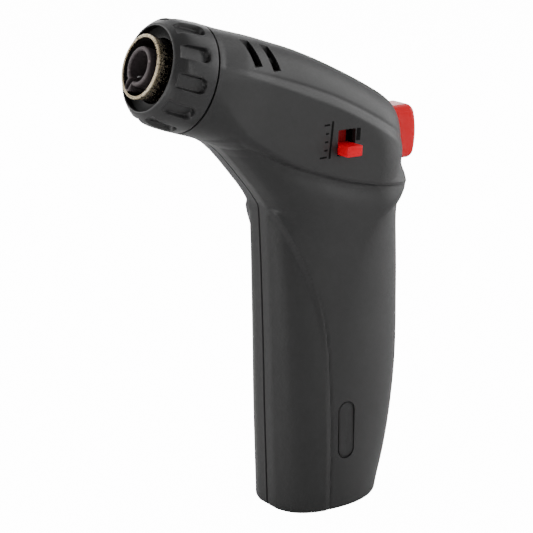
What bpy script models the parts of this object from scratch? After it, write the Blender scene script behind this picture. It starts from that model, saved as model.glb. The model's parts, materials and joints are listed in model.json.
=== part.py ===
"""Pistol-grip butane torch, built as an assembly of separate pieces.

The tables are in millimetres, turned into metres when a mesh is made.
-X is the front, where the flame leaves, +X the back with the trigger button, +Z up.
Y runs across the torch: left is -Y, and the two shell halves meet at y = 0.
The origin is the centre of the flat underside of the base.
"""

import math

import bmesh
import bpy
import numpy as np

for _obj in list(bpy.data.objects):
    bpy.data.objects.remove(_obj, do_unlink=True)

# ---------------------------------------------------------------- driving dimensions (mm)
X_AXIS, Y_AXIS, Z_AXIS = (1, 0, 0), (0, 1, 0), (0, 0, 1)

GAP = 0.15                   # each shell half stops this far from the parting plane
WALL = 2.0                   # shell wall
TILT = math.radians(17.96)   # the barrel points this far above the horizontal
SEAM = (-49.61, 144.63)      # barrel axis where the collar meets the shells (x, z)
BARREL_R = 17.0              # radius of the shells at the collar
BASE_FILLET = 1.8
BASE_LIP = 5.0               # how far the bottom opening is inset from the outline
HANDLE_HALF = 15.6           # half thickness of the handle's flanks
FRONT_FLAT = 5.0             # half width of the flat strip down the handle's front

SCREWS = ((-17.0, 147.0), (8.0, 135.3), (-16.6, 100.0),
          (21.3, 96.0), (-13.0, 8.2), (15.6, 8.2))   # (x, z)
SCREW_BORE_R = 1.3
VENTS = ((-34.7, 150.2), (-27.7, 148.2))   # (x, z) near each vent slot's lower front corner

SCOOPS = 11                  # grip hollows round the collar
TUBE_R = 9.6                 # flame tube, outside
TUBE_LIP_S = 17.8            # how far its rolled lip stands in front of the seam
BURNER_R = 6.1               # burner tube inside it, outside
CHANNEL_R = 7.1              # igniter channel's distance from the barrel axis
CHANNEL_TURN = math.radians(65)
MIXING_HOLE_TURNS = (0.8, 2.37, 3.94, 5.51)
NOTCHES = 9                  # round the flame holder's rim

TANK_Z = (14.0, 84.0)
TANK_INSET = 4.0             # tank's outside, in from the handle's outline
TANK_LINING_INSET = 5.4
VALVE_X = 2.0
VALVE_PORT_Z = 91.8          # height of the gas outlet on the valve
LEVER_PIVOT = (12.0, 103.0)  # (x, z)
FILL_X = 8.0                 # filling valve

TRIGGER_HALF = 6.0           # half width
TRIGGER_Z = (111.5, 129.2)
TRIGGER_BACK = 34.3
TRIGGER_BULGE = 1.3
TRIGGER_CORNER = 2.3
TRIGGER_CLEARANCE = 0.4
PIEZO_Z = 119.6              # height of the igniter's axis

SLOT_Z = 122.3               # height about which the switch slot leans
SLOT_LEAN = 0.065            # it leans back this much per unit of height
WINDOW = (-2.5, 3.1, 17.8, 36.0)   # fuel window: x0, x1, z0, z1
WINDOW_CORNER = 2.75
WINDOW_CLEARANCE = 0.3

# ---------------------------------------------------------------- tables of the body (mm)
# Side view of the body, from the collar to the base. Each row is a point on the front or
# underside (x, z), then the point across from it on the top or back (x, z).
OUTLINE = np.array([
    (-54.85, 128.46, -44.37, 160.8), (-50.2, 127.0, -40.0, 159.35),
    (-45.7, 125.3, -34.6, 157.85), (-41.8, 123.3, -28.4, 156.1),
    (-38.7, 120.6, -21.0, 153.65), (-35.7, 117.3, -12.6, 150.75),
    (-32.9, 114.0, -3.4, 146.85), (-30.2, 110.7, 6.2, 142.2),
    (-28.0, 108.0, 15.4, 137.3), (-25.9, 105.1, 23.0, 132.8),
    (-24.1, 102.05, 27.5, 128.2), (-23.7, 98.6, 29.0, 122.8),
    (-23.5, 95.3, 29.1, 117.6), (-23.35, 92.0, 28.9, 112.4),
    (-23.2, 88.8, 29.9, 108.0), (-23.05, 85.8, 30.4, 105.2),
    (-22.95, 83.0, 29.4, 102.8), (-22.85, 80.2, 27.9, 100.7),
    (-22.75, 77.2, 27.6, 97.6), (-22.65, 74.0, 27.8, 92.8),
    (-22.5, 69.6, 28.3, 85.6), (-22.3, 63.6, 28.8, 76.6),
    (-22.1, 56.4, 29.1, 66.4), (-21.9, 48.6, 29.2, 55.6),
    (-21.75, 40.2, 28.9, 44.6), (-21.5, 31.4, 27.9, 33.6),
    (-21.2, 22.4, 26.4, 23.2), (-20.9, 13.2, 24.2, 13.4),
    (-20.6, 4.0, 21.4, 4.0), (-20.5, 0.0, 20.4, 0.0),
])
LAST = len(OUTLINE) - 1
BACK_START = 9    # from this row down, the outline's second point is on the back

# Lower and upper edges of the head panel, front to back (x, z).
PANEL_LOW = np.array([
    (-62, 130.8), (-54.85, 128.46), (-50, 126.9), (-46, 125.5), (-42.9, 124.3),
    (-37.5, 122.2), (-32, 119.9), (-27.3, 117.6), (-23, 115.6), (-18, 113.6), (-12.9, 111.7),
    (-7.1, 109.8), (0.7, 107.5), (8.7, 105.7), (16.7, 104.4), (22, 103.7), (28, 103.0),
    (34, 102.3)])
PANEL_TOP = np.array([
    (-62, 155.3), (-54, 152.8), (-47.4, 150.6), (-41, 148.9), (-33.8, 146.6),
    (-26.5, 144.3), (-19.1, 141.9), (-11.5, 139.1), (-3.9, 136.0), (3.9, 132.2),
    (11.9, 127.8), (17.9, 124.2), (24, 120.4), (32, 115)])
# Front edge of the grip's main body, downwards (x, z).
GRIP_EDGE = np.array([
    (-24.6, 104.6), (-23.5, 100.6), (-20.8, 95), (-17.6, 88.5), (-14.8, 81.8),
    (-12.3, 74.7), (-10.1, 66.8), (-8.6, 56.8), (-7.9, 46.5), (-7.4, 34.6), (-7.3, 20.7),
    (-7.6, 3.4), (-7.7, -3)])

# Rounding towards the top and back, as (outline row, depth) and (outline row, exponent).
ROUND_DEPTH = np.array([
    (0, 17), (2, 13.5), (4, 13), (7, 14), (9, 16), (11, 17.5), (13, 18), (15, 18), (17, 20),
    (19, 25), (22, 33), (26, 31), (29, 23)]).T
ROUND_POWER = np.array([
    (0, 2), (3, 2.0), (10, 2.0), (13, 2.05), (16, 2.05), (19, 2.0), (29, 2.0)]).T

# Half thickness of the web under the head, by scaled distance behind the front.
WEB = np.array([(0, 5.2), (1.0, 8.3), (1.6, 9.7), (3.4, 12.1), (6.5, 14.2), (10.5, 15.2),
                (15, 15.6), (60, 15.6)]).T
WEB_SCALE = 0.75
# Half thickness by height: at the main body's front edge, and on the column before it.
EDGE = np.array([(-5, 15.35), (20, 15.3), (50, 14.9), (70, 14.3), (82, 13.6), (90, 12.5),
                 (96, 10.8), (102, 8.5), (110, 8.3)]).T
COLUMN = np.array([(-5, 15.75), (20, 15.7), (45, 15.1), (70, 14.0), (85, 13.0), (95, 12.3),
                   (102, 12.0)]).T
# How far the column has swelled from the front flat, by distance behind the front.
COLUMN_SWELL = np.array([(0, 0), (0.5, 0.15), (1.4, 0.36), (3.4, 0.61), (7.0, 0.83),
                         (10.5, 0.94), (15, 1.0), (60, 1.0)]).T

# Places on each section, 0 at the front to 1 at the back.
STATIONS = np.array([0, 0.0, .028, .06, .11, .18, .27, .37, .48, .6, .71, .81, .885, .94,
                     .98, 1.0])
# Sections above the base fillet, as positions among the outline's rows.
BODY_ROWS = np.concatenate([
    np.linspace(0, 9, 10), np.linspace(9.8, 18, 11), np.linspace(19.6, 27.2, 5), [27.9]])


# ---------------------------------------------------------------- curves
def pchip(knots, values, x):
    """Smooth interpolation that doesn't overshoot its points."""
    step = np.diff(knots)
    slope = np.diff(values) / step
    tangent = np.zeros(len(knots))
    tangent[0], tangent[-1] = slope[0], slope[-1]
    for i in range(1, len(knots) - 1):
        if slope[i - 1] * slope[i] > 0:
            before = 2 * step[i] + step[i - 1]
            after = step[i] + 2 * step[i - 1]
            tangent[i] = (before + after) / (before / slope[i - 1] + after / slope[i])
    i = np.clip(np.searchsorted(knots, x) - 1, 0, len(knots) - 2)
    t = np.clip((x - knots[i]) / step[i], 0, 1)
    return ((1 + 2 * t) * (1 - t) ** 2 * values[i] + t * (1 - t) ** 2 * step[i] * tangent[i]
            + t * t * (3 - 2 * t) * values[i + 1]
            + t * t * (t - 1) * step[i] * tangent[i + 1])


def through(points, u):
    """A smooth curve through the rows of points, at parameters 0 to n - 1."""
    n = len(points)
    i = np.clip(np.floor(u).astype(int), 0, n - 2)
    t = (u - i)[:, None]
    p1, p2 = points[i], points[i + 1]
    p0, p3 = points[np.clip(i - 1, 0, n - 1)], points[np.clip(i + 2, 0, n - 1)]
    p0 = np.where((i == 0)[:, None], 2 * p1 - p2, p0)
    p3 = np.where((i == n - 2)[:, None], 2 * p2 - p1, p3)
    return 0.5 * (2 * p1 + (p2 - p0) * t + (2 * p0 - 5 * p1 + 4 * p2 - p3) * t ** 2
                  + (-p0 + 3 * p1 - 3 * p2 + p3) * t ** 3)


def side_of(points, curve):
    """Signed distance from points (x, z) to a curve, positive on its left."""
    line = through(curve, np.linspace(0, len(curve) - 1, 200))
    nearest, sign = np.full(len(points), 1e9), np.ones(len(points))
    for start, way in zip(line[:-1], np.diff(line, axis=0)):
        off = points - start
        t = np.clip((off @ way) / (way @ way), 0, 1)
        squared = ((off - t[:, None] * way) ** 2).sum(1)
        closer = squared < nearest
        nearest = np.where(closer, squared, nearest)
        turn = np.where(way[0] * off[:, 1] - way[1] * off[:, 0] < 0, -1.0, 1.0)
        sign = np.where(closer, turn, sign)
    return np.sqrt(nearest) * sign


def bezier(p0, p1, p2, p3, count):
    t = np.linspace(0, 1, count)[:, None]
    p0, p1, p2, p3 = (np.asarray(p, float) for p in (p0, p1, p2, p3))
    return ((1 - t) ** 3 * p0 + 3 * (1 - t) ** 2 * t * p1
            + 3 * (1 - t) * t * t * p2 + t ** 3 * p3)


def smooth(x, start, end):
    t = np.clip((x - start) / (end - start), 0, 1)
    return t * t * (3 - 2 * t)


def rounding(distance, depth, power):
    """Rises from 0 at an edge to 1 at the given depth, as a superellipse."""
    return (1 - np.clip(1 - distance / depth, 0, 1) ** power) ** (1.0 / power)


def soft_max(a, b, blend):
    share = np.clip(0.5 + 0.5 * (a - b) / blend, 0, 1)
    return b * (1 - share) + a * share + blend * share * (1 - share)


# ---------------------------------------------------------------- the body's surface
def front_x(z):
    return np.interp(z, OUTLINE[::-1, 1], OUTLINE[::-1, 0])


def back_x(z):
    return np.interp(z, OUTLINE[:BACK_START - 1:-1, 3], OUTLINE[:BACK_START - 1:-1, 2])


def head_half(behind, above_low, above_top):
    """Half thickness of the head; `behind` is the distance back from the seam."""
    swell = BARREL_R - 0.9 * smooth(behind, 2, 22) + 0.3 * smooth(behind, 30, 70)
    depth = 17 - 11 * smooth(behind, 0, 55)
    power = 2 + 0.8 * smooth(behind, 0, 45)
    edge = rounding(np.maximum(above_low, 0), depth, power)
    half = swell * np.where(above_low > 0, edge, 0)
    # above the panel the surface steps in
    step_in = 0.75 * smooth(behind, 4, 16) * smooth(above_top, -0.9, 0.5)
    return half - step_in * (above_low > 0)


def handle_half(x, z, in_grip):
    """Half thickness of the handle; `in_grip` is the distance behind the grip's edge."""
    inward = np.maximum(x - front_x(z), 0)
    web = pchip(*WEB, inward * WEB_SCALE) * smooth(x, -56, -40)
    edge = pchip(*EDGE, z)
    body = edge + (HANDLE_HALF - edge) * (1 - np.exp(-np.maximum(in_grip, 0) / 8.0))
    under = smooth(z, 99.5, 103.5)    # the web takes over from the body at this height
    main = web * under + body * (1 - under)
    column = FRONT_FLAT + (pchip(*COLUMN, z) - FRONT_FLAT) * pchip(*COLUMN_SWELL, inward)
    step = smooth(in_grip, -1.3, 1.1) * (1 - under) + under
    return column + (main - column) * step


def flank(points):
    """Half thickness of the body at points (x, z), before the rounding to top and back."""
    x, z = points.T
    behind = (x - SEAM[0]) * math.cos(TILT) - (z - SEAM[1]) * math.sin(TILT)
    low = side_of(points, PANEL_LOW)
    head = head_half(behind, low, side_of(points, PANEL_TOP))
    both = soft_max(head, handle_half(x, z, side_of(points, GRIP_EDGE)), 0.5)
    # the handle fades out between 3 and 6 above the panel's lower edge
    fading = head + (both - head) * (6 - low) / 3.0
    return np.where(low > 6, head, np.where(low > 3, fading, both))


def sections(rows, stations, inset=0.0):
    """x, z and half thickness on the body's sections, each (rows, stations).

    An inset shrinks each section about its centre."""
    ends = through(OUTLINE, rows)
    front, back = ends[:, :2], ends[:, 2:]
    length = np.linalg.norm(back - front, axis=1)[:, None]
    way = (back - front) / length

    def place(along):
        return front[:, None, :] + way[:, None, :] * along[:, :, None]

    along = length * stations
    half = flank(place(along).reshape(-1, 2)).reshape(along.shape)
    depth = np.interp(rows, *ROUND_DEPTH)[:, None]
    power = np.interp(rows, *ROUND_POWER)[:, None]
    y = half * rounding(length - along, depth, power)
    inset = np.broadcast_to(np.asarray(inset, float), rows.shape)[:, None]
    widest = y.max(axis=1, keepdims=True)
    y = y * (widest - inset) / widest
    points = place(inset + (length - 2 * inset) * stations)
    return points[:, :, 0], points[:, :, 1], y


def stations_at(rows):
    """The stations; the second one leaves the centre line near the round barrel."""
    stations = np.tile(STATIONS, (len(rows), 1))
    stations[:, 1] = 0.008 * (1 - smooth(rows, 0, 5))
    return stations


def half_rings(rows, inset, side, level=np.nan):
    """One side's points on each section, moved to a level (z) where one is given."""
    x, z, y = sections(rows, stations_at(rows), inset)
    y = np.maximum(y, GAP)
    y[:, 0] = GAP
    y[:, -1] = GAP
    z = z + np.where(np.isnan(level), 0.0, level - z.mean(axis=1))[:, None]
    return np.stack([x, side * y, z], axis=2)


# ---------------------------------------------------------------- mesh helpers
def material(name, colour, metallic, roughness):
    made = bpy.data.materials.new(name)
    made.use_nodes = True
    shader = next(n for n in made.node_tree.nodes if n.type == "BSDF_PRINCIPLED")
    shader.inputs["Base Color"].default_value = (*colour, 1.0)
    shader.inputs["Metallic"].default_value = metallic
    shader.inputs["Roughness"].default_value = roughness
    return made


def make(name, verts, faces, look=None, origin=(0, 0, 0)):
    """A mesh object from points in mm. Its origin sits at `origin` (mm)."""
    mesh = bpy.data.meshes.new(name)
    origin = np.asarray(origin, float)
    points = (np.asarray(verts, float) - origin) / 1000
    mesh.from_pydata(points.tolist(), [], [tuple(int(i) for i in f) for f in faces])
    work = bmesh.new()
    work.from_mesh(mesh)
    bmesh.ops.remove_doubles(work, verts=work.verts, dist=1e-7)
    bmesh.ops.recalc_face_normals(work, faces=work.faces)
    if work.calc_volume(signed=True) < 0:
        bmesh.ops.reverse_faces(work, faces=work.faces)
    work.to_mesh(mesh)
    work.free()
    obj = bpy.data.objects.new(name, mesh)
    bpy.context.scene.collection.objects.link(obj)
    obj.location = tuple(origin / 1000)
    if look:
        mesh.materials.append(material(name + "_mat", **look))
    return obj


def boolean(obj, tool, operation):
    """Applies one Boolean and throws the tool away."""
    modifier = obj.modifiers.new("boolean", "BOOLEAN")
    modifier.operation = operation
    modifier.solver = "EXACT"
    modifier.object = tool
    bpy.context.view_layer.update()
    graph = bpy.context.evaluated_depsgraph_get()
    made = bpy.data.meshes.new_from_object(obj.evaluated_get(graph))
    obj.modifiers.clear()
    old = obj.data
    name = old.name
    obj.data = made
    bpy.data.meshes.remove(old)
    made.name = name
    bpy.data.objects.remove(tool, do_unlink=True)


def cut(obj, tool):
    boolean(obj, tool, "DIFFERENCE")


def join(obj, tool):
    boolean(obj, tool, "UNION")


def frame(axis):
    """The unit axis and two unit directions square to it."""
    along = np.asarray(axis, float)
    along = along / np.linalg.norm(along)
    side = Y_AXIS if abs(along[1]) < 0.9 else X_AXIS
    second = np.cross(along, side)
    second = second / np.linalg.norm(second)
    return along, np.cross(second, along), second


# forwards along the barrel, to the right of it and downwards from it
BARREL, BARREL_RIGHT, BARREL_DOWN = frame((-math.cos(TILT), 0.0, math.sin(TILT)))
SEAM_POINT = np.array([SEAM[0], 0.0, SEAM[1]])


def radial(turn):
    return BARREL_RIGHT * math.cos(turn) + BARREL_DOWN * math.sin(turn)


def on_barrel(s, r=0.0, turn=0.0, aside=0.0):
    """A point s forward of the seam and r out from the barrel's axis, shifted aside."""
    out = radial(turn)
    return SEAM_POINT + BARREL * s + out * r + np.cross(BARREL, out) * aside


def band(first, second):
    """Quads between two closed loops of vertex numbers."""
    n = len(first)
    return [(first[k], first[(k + 1) % n], second[(k + 1) % n], second[k]) for k in range(n)]


def bands(rows):
    return [face for pair in zip(rows, rows[1:]) for face in band(*pair)]


def loft(name, loops, look=None, origin=(0, 0, 0)):
    """A capped solid through loops with the same number of points."""
    count, n = len(loops), len(loops[0])
    rows = np.arange(count * n).reshape(count, n)
    faces = [rows[0], rows[-1]] + bands(rows)
    return make(name, np.concatenate(loops), faces, look, origin)


def plate(name, outline, y0, y1, look=None, origin=(0, 0, 0)):
    """An outline in (x, z) given thickness from y0 to y1."""
    return loft(name, [[(x, y, z) for x, z in outline] for y in (y0, y1)], look, origin)


def stacked(name, outlines, levels, look):
    """A solid through horizontal (x, y) outlines."""
    loops = [[(x, y, z) for x, y in outline] for outline, z in zip(outlines, levels)]
    return loft(name, loops, look)


def rounded(x0, x1, z0, z1, radius, steps):
    """A rounded rectangle's outline, with `steps` segments to a corner."""
    points = []
    for cx, cz, start in ((x1 - radius, z1 - radius, 0), (x0 + radius, z1 - radius, 90),
                          (x0 + radius, z0 + radius, 180), (x1 - radius, z0 + radius, 270)):
        for k in range(steps + 1):
            t = math.radians(start + 90 * k / steps)
            points.append((cx + radius * math.cos(t), cz + radius * math.sin(t)))
    return points


def block(name, x, y, z, look=None, radius=0.0, steps=3):
    """A box over (low, high) spans, with its edges along x rounded."""
    if radius:
        outline = rounded(*y, *z, radius, steps)
    else:
        outline = [(y[0], z[0]), (y[1], z[0]), (y[1], z[1]), (y[0], z[1])]
    return loft(name, [[(end, a, b) for a, b in outline] for end in x], look)


def turned(name, profile, look=None, at=SEAM_POINT, axis=BARREL, segments=40, ring=False):
    """A turned piece: profile is (distance along the axis, radius) pairs.

    With ring=True the profile is a closed loop that never meets the axis."""
    along, first, second = frame(axis)
    at = np.asarray(at, float)
    verts, faces, rows = [], [], []
    for s, r in profile:
        if r == 0:
            rows.append([len(verts)])
            verts.append(at + along * s)
            continue
        rows.append(list(range(len(verts), len(verts) + segments)))
        for k in range(segments):
            t = 2 * math.pi * k / segments
            verts.append(at + along * s + (first * math.cos(t) + second * math.sin(t)) * r)
    following = rows[1:] + rows[:1] if ring else rows[1:]
    for p, q in zip(rows, following):
        for k in range(segments):
            n = (k + 1) % segments
            if len(p) == 1:
                faces.append((p[0], q[k], q[n]))
            elif len(q) == 1:
                faces.append((p[k], q[0], p[n]))
            else:
                faces.append((p[k], q[k], q[n], p[n]))
    if not ring:
        faces += [row for row in (rows[0], rows[-1]) if len(row) > 1]
    return make(name, verts, faces, look, at)


def rod(at, axis, length, radius, segments):
    """A plain cylinder to cut or join with."""
    return turned("tool", [(0, radius), (length, radius)], None, at, axis, segments)


def sweep(name, points, outer, look, inner=0.0, segments=8, origin=(0, 0, 0)):
    """A round wire of radius `outer` along points, or a hose if `inner` is given."""
    points = np.asarray(points, float)
    ways = np.gradient(points, axis=0)
    ways /= np.linalg.norm(ways, axis=1)[:, None]
    normal = frame(ways[0])[2]
    verts, rings = [], []
    for point, way in zip(points, ways):
        normal = normal - way * (normal @ way)
        normal /= np.linalg.norm(normal)
        other = np.cross(way, normal)
        ring = []
        for r in ([outer, inner] if inner else [outer]):
            ring.append(list(range(len(verts), len(verts) + segments)))
            for k in range(segments):
                t = 2 * math.pi * k / segments
                verts.append(point + (normal * math.cos(t) + other * math.sin(t)) * r)
        rings.append(ring)
    faces = []
    for here, after in zip(rings, rings[1:]):
        for one, two in zip(here, after):
            faces += band(one, two)
    for end in (rings[0], rings[-1]):
        faces += band(*end) if inner else end
    return make(name, verts, faces, look, origin)


def coil(name, at, axis, radius, wire, length, turns):
    """A steel spring."""
    along, first, second = frame(axis)
    per_turn = 8
    steps = turns * per_turn
    points = []
    for k in range(steps + 1):
        t = 2 * math.pi * k / per_turn
        out = first * math.cos(t) + second * math.sin(t)
        points.append(np.asarray(at, float) + along * (length * k / steps) + out * radius)
    return sweep(name, points, wire, STEEL, segments=4, origin=at)


# ---------------------------------------------------------------- looks
CHARCOAL = dict(colour=(0.055, 0.055, 0.055), metallic=0.0, roughness=0.55)
RED = dict(colour=(0.62, 0.012, 0.016), metallic=0.0, roughness=0.3)
BLACK = dict(colour=(0.012, 0.012, 0.013), metallic=0.0, roughness=0.25)
NICKEL = dict(colour=(0.72, 0.66, 0.56), metallic=1.0, roughness=0.22)
BURNT = dict(colour=(0.10, 0.085, 0.075), metallic=0.9, roughness=0.5)
STEEL = dict(colour=(0.55, 0.55, 0.56), metallic=1.0, roughness=0.3)
BRASS = dict(colour=(0.72, 0.52, 0.22), metallic=1.0, roughness=0.3)
CERAMIC = dict(colour=(0.85, 0.83, 0.78), metallic=0.0, roughness=0.4)
RUBBER = dict(colour=(0.02, 0.02, 0.02), metallic=0.0, roughness=0.8)
TANK = dict(colour=(0.35, 0.37, 0.38), metallic=0.0, roughness=0.35)


# ---------------------------------------------------------------- shells
def slot_outline(x0, x1, z0, z1, radius):
    return leaned(rounded(x0, x1, z0, z1, radius, 2))


def leaned(outline):
    """An (x, z) outline leaned back like the switch slot."""
    return [(x + (z - SLOT_Z) * SLOT_LEAN, z) for x, z in outline]


def shell_skin(name, side):
    """The hollow half, each section a closed loop down the outside and back up the inside."""
    turn = np.linspace(0, math.pi / 2, 5)
    rise = BASE_FILLET - BASE_FILLET * np.sin(turn)
    rows = np.concatenate([BODY_ROWS, LAST - rise / OUTLINE[-2, 1]])
    n = len(BODY_ROWS)
    unmoved = np.full(n, np.nan)
    skin = half_rings(rows, np.concatenate([np.zeros(n), BASE_FILLET * (1 - np.cos(turn))]),
                      side, np.concatenate([unmoved, rise]))
    # the lining turns in over the base to the lip of the bottom opening
    inset = np.concatenate([np.full(n, WALL), [WALL, WALL, 3.5, BASE_LIP, BASE_LIP]])
    level = np.concatenate([unmoved, [3.0, WALL, WALL, WALL, 0.0]])
    lining = half_rings(rows, inset, side, level)
    verts = np.concatenate([skin, lining[:, ::-1]], axis=1)
    loops = np.arange(verts.shape[0] * verts.shape[1]).reshape(verts.shape[:2])
    faces = bands(loops)
    for row in (loops[0], loops[-1]):
        faces += [(row[j], row[j + 1], row[-2 - j], row[-1 - j])
                  for j in range(len(STATIONS) - 1)]
    return make(name, verts.reshape(-1, 3), faces, CHARCOAL)


def add_posts(obj, side):
    """Screw posts and lever pin sockets, trimmed to end inside the skin, then bored."""
    outward = (0, side, 0)
    pivot_x, pivot_z = LEVER_PIVOT
    radius = 3.2 if side > 0 else 2.6
    posts = [rod((x, side * GAP, z), outward, 17, radius, 12) for x, z in SCREWS]
    posts.append(rod((pivot_x, side * 10.5, pivot_z), outward, 7, 2.6, 12))
    core = half_rings(np.concatenate([BODY_ROWS[::2], [28.4]]), 0.9, side)
    for post in posts:
        boolean(post, loft("tool", core), "INTERSECT")
        join(obj, post)
    for x, z in SCREWS:
        if side > 0:    # the right half takes the heads in wider wells
            bore = [(-1, SCREW_BORE_R), (7.0, SCREW_BORE_R), (7.0, 2.5), (20, 2.5)]
            cut(obj, turned("tool", bore, None, (x, 0, z), Y_AXIS, 14))
        else:
            cut(obj, rod((x, 1, z), (0, -1, 0), 9.2, SCREW_BORE_R, 10))
    cut(obj, rod((pivot_x, 0, pivot_z), outward, 13.4, 1.3, 10))


def shell(name, side):
    obj = shell_skin(name, side)
    add_posts(obj, side)
    # opening for the trigger button
    half, clear = TRIGGER_HALF + TRIGGER_CLEARANCE, TRIGGER_CLEARANCE
    cut(obj, block("tool", (18, 42), (-half, half), (TRIGGER_Z[0] - clear, TRIGGER_Z[1] + clear),
                   radius=TRIGGER_CORNER + clear, steps=4))
    # vent slots in the head, slanting forwards as they rise
    for x, z in VENTS:
        slot = [(x - 0.25, z), (x + 2.3, z), (x + 0.9, z + 12), (x - 1.65, z + 12)]
        cut(obj, plate("tool", slot, side * 7.6, side * 22))
    if side < 0:    # openings for the switch and the fuel window
        cut(obj, plate("tool", slot_outline(-5.0, 1.6, 118.2, 126.5, 0.5), -20, -9))
        clear = WINDOW_CLEARANCE
        x0, x1, z0, z1 = WINDOW
        opening = rounded(x0 - clear, x1 + clear, z0 - clear, z1 + clear,
                          WINDOW_CORNER + clear, 6)
        cut(obj, plate("tool", opening, -20, -9))


def base_outline(inset):
    """The handle's horizontal outline close to the base, as (x, y) points."""
    rows = np.array([28.9])
    x, _, y = sections(rows, stations_at(rows), inset)
    x, y = x[0], y[0]
    left = [(x[k], -y[k]) for k in range(1, len(x))]
    right = [(x[k], y[k]) for k in range(len(x) - 2, 0, -1)]
    return left + right


def base_plate():
    """A stepped plug in the bottom opening, bored for the filling valve."""
    narrow, wide = base_outline(BASE_LIP + 0.3), base_outline(2.9)
    obj = stacked("base_plate", [narrow, narrow, wide, wide], [0.0, 2.3, 2.3, 3.9], CHARCOAL)
    bore = [(-1, 4.6), (0.6, 4.2), (0.6, 3.9), (5, 3.9)]
    cut(obj, turned("tool", bore, None, (FILL_X, 0, 0), Z_AXIS, 24))


shell("left_shell", -1)
shell("right_shell", 1)
base_plate()


# ---------------------------------------------------------------- nozzle end
def control_collar():
    collar = turned("control_collar", [
        (0.35, 16.0), (0.35, 16.75), (0.7, BARREL_R), (4.0, BARREL_R), (8.0, 16.75),
        (11.0, 16.4), (12.6, 15.95), (13.7, 15.2), (14.3, 14.3), (14.5, 13.6), (14.35, 13.15),
        (13.9, 13.0), (12.7, 13.0), (12.7, 14.5), (3.3, 14.5), (3.3, 15.3), (1.3, 15.3),
        (1.3, 14.5), (0.35, 14.5)], CHARCOAL, segments=44, ring=True)
    outline = rounded(3.9, 16.0, -2.2, 2.2, 1.9, 2)    # (along the barrel, across)
    for k in range(SCOOPS):
        turn = 2 * math.pi * (k + 0.39) / SCOOPS
        # each scoop widens outwards, and runs out through the collar's front shoulder
        loops = [[on_barrel(s - grow * (s < 8), depth, turn, w + math.copysign(grow, w))
                  for s, w in outline]
                 for depth, grow in ((15.35, 0.0), (18.5, 0.9))]
        cut(collar, loft("tool", loops))


def burner_tube():
    burner = turned("burner_tube", [
        (-14.0, 4.3), (-14.0, 5.0), (-10.6, 5.0), (-9.9, 8.2), (-9.2, 8.2), (-9.2, BURNER_R),
        (17.1, BURNER_R), (17.6, BURNER_R - 0.25), (17.8, BURNER_R - 0.8), (17.6, 4.75),
        (17.1, 4.5), (-8.4, 4.5), (-9.6, 4.3)], BURNT, segments=26, ring=True)
    # the igniter's channel runs down one side and opens into the tube, like a keyhole
    join(burner, rod(on_barrel(6.0, CHANNEL_R, CHANNEL_TURN), BARREL, 11.4, 1.4, 16))
    cut(burner, rod(on_barrel(8.0, CHANNEL_R, CHANNEL_TURN), BARREL, 12, 0.8, 12))
    corners = ((8.0, -0.5), (20, -0.5), (20, 0.5), (8.0, 0.5))
    cut(burner, loft("tool", [[on_barrel(s, depth, CHANNEL_TURN, w) for s, w in corners]
                              for depth in (4.0, CHANNEL_R)]))


def flame_holder():
    """A disc with slanted notches round its rim and a hole in the middle."""
    tooth = ((0.0, 4.25), (0.55, 4.25), (0.62, 3.0), (0.93, 3.0))   # (share of pitch, radius)
    loops = [[on_barrel(s, r, 2 * math.pi * (k + share) / NOTCHES)
              for k in range(NOTCHES) for share, r in tooth]
             for s in (2.0, 3.6)]
    holder = loft("flame_holder", loops, STEEL, SEAM_POINT)
    cut(holder, rod(on_barrel(0), BARREL, 6, 1.75, 20))


def electrode():
    """A wire on the barrel's axis with its tip bent aside."""
    straight = [on_barrel(s) for s in np.linspace(-5.0, 8.0, 6)[:-1]]
    bend = bezier(on_barrel(8.0), on_barrel(10.4), on_barrel(11.2, 0.6, 0.6),
                  on_barrel(11.9, 2.0, 0.6), 6)
    sweep("electrode", np.concatenate([straight, bend]), 0.45, STEEL, segments=6)


def mixing_tube():
    tube = turned("mixing_tube", [
        (-11.4, 3.2), (-11.4, 3.9), (-31.0, 3.9), (-31.8, 4.6), (-40.0, 4.6), (-40.0, 3.6),
        (-33.0, 3.6), (-30.6, 2.0), (-25.0, 2.0), (-18.0, 3.2)], BRASS, segments=18, ring=True)
    for turn in MIXING_HOLE_TURNS:
        cut(tube, rod(on_barrel(-35.6, 2.0, turn), radial(turn), 6, 1.2, 8))


def gas_hose():
    """From the jet down to the valve's outlet."""
    line = bezier(on_barrel(-43.8), on_barrel(-48.6), (-8.9, 0, 118.0), (-8.3, 0, 94.0), 12)
    line = np.concatenate([line, [(-6.8, 0, 92.3), (-5.0, 0, VALVE_PORT_Z)]])
    sweep("gas_hose", line, 1.3, RUBBER, inner=0.6, segments=6)


control_collar()
turned("collar_bushing", [
    (-7.0, 12.6), (-7.0, 14.3), (-0.3, 14.3), (-0.3, 14.1), (1.6, 14.1), (1.6, 14.95),
    (2.9, 14.95), (2.9, 14.1), (9.6, 14.1), (9.6, 12.6)], CHARCOAL, segments=26, ring=True)
turned("air_shutter", [
    (10.0, 13.9), (10.7, 13.9), (10.7, 10.6), (-12.0, 10.6), (-18.5, 6.1), (-25.0, 6.1),
    (-25.0, 7.2), (-18.0, 7.2), (-11.7, 11.7), (10.0, 11.7)], BLACK, segments=24, ring=True)
turned("nozzle_insulator", [
    (11.0, 10.1), (11.0, 13.4), (12.2, 14.1), (12.5, 14.1), (12.5, 13.6), (11.9, 12.2),
    (11.7, 10.1)], BLACK, segments=32, ring=True)
turned("flame_tube", [
    (-9.0, TUBE_R), (16.3, TUBE_R), (16.8, TUBE_R + 0.3), (17.3, TUBE_R + 0.4),
    (TUBE_LIP_S, TUBE_R + 0.1), (TUBE_LIP_S, TUBE_R - 0.6), (17.3, TUBE_R - 0.9),
    (16.7, TUBE_R - 0.5), (-9.0, TUBE_R - 0.5)], NICKEL, segments=36, ring=True)
burner_tube()
flame_holder()
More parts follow.
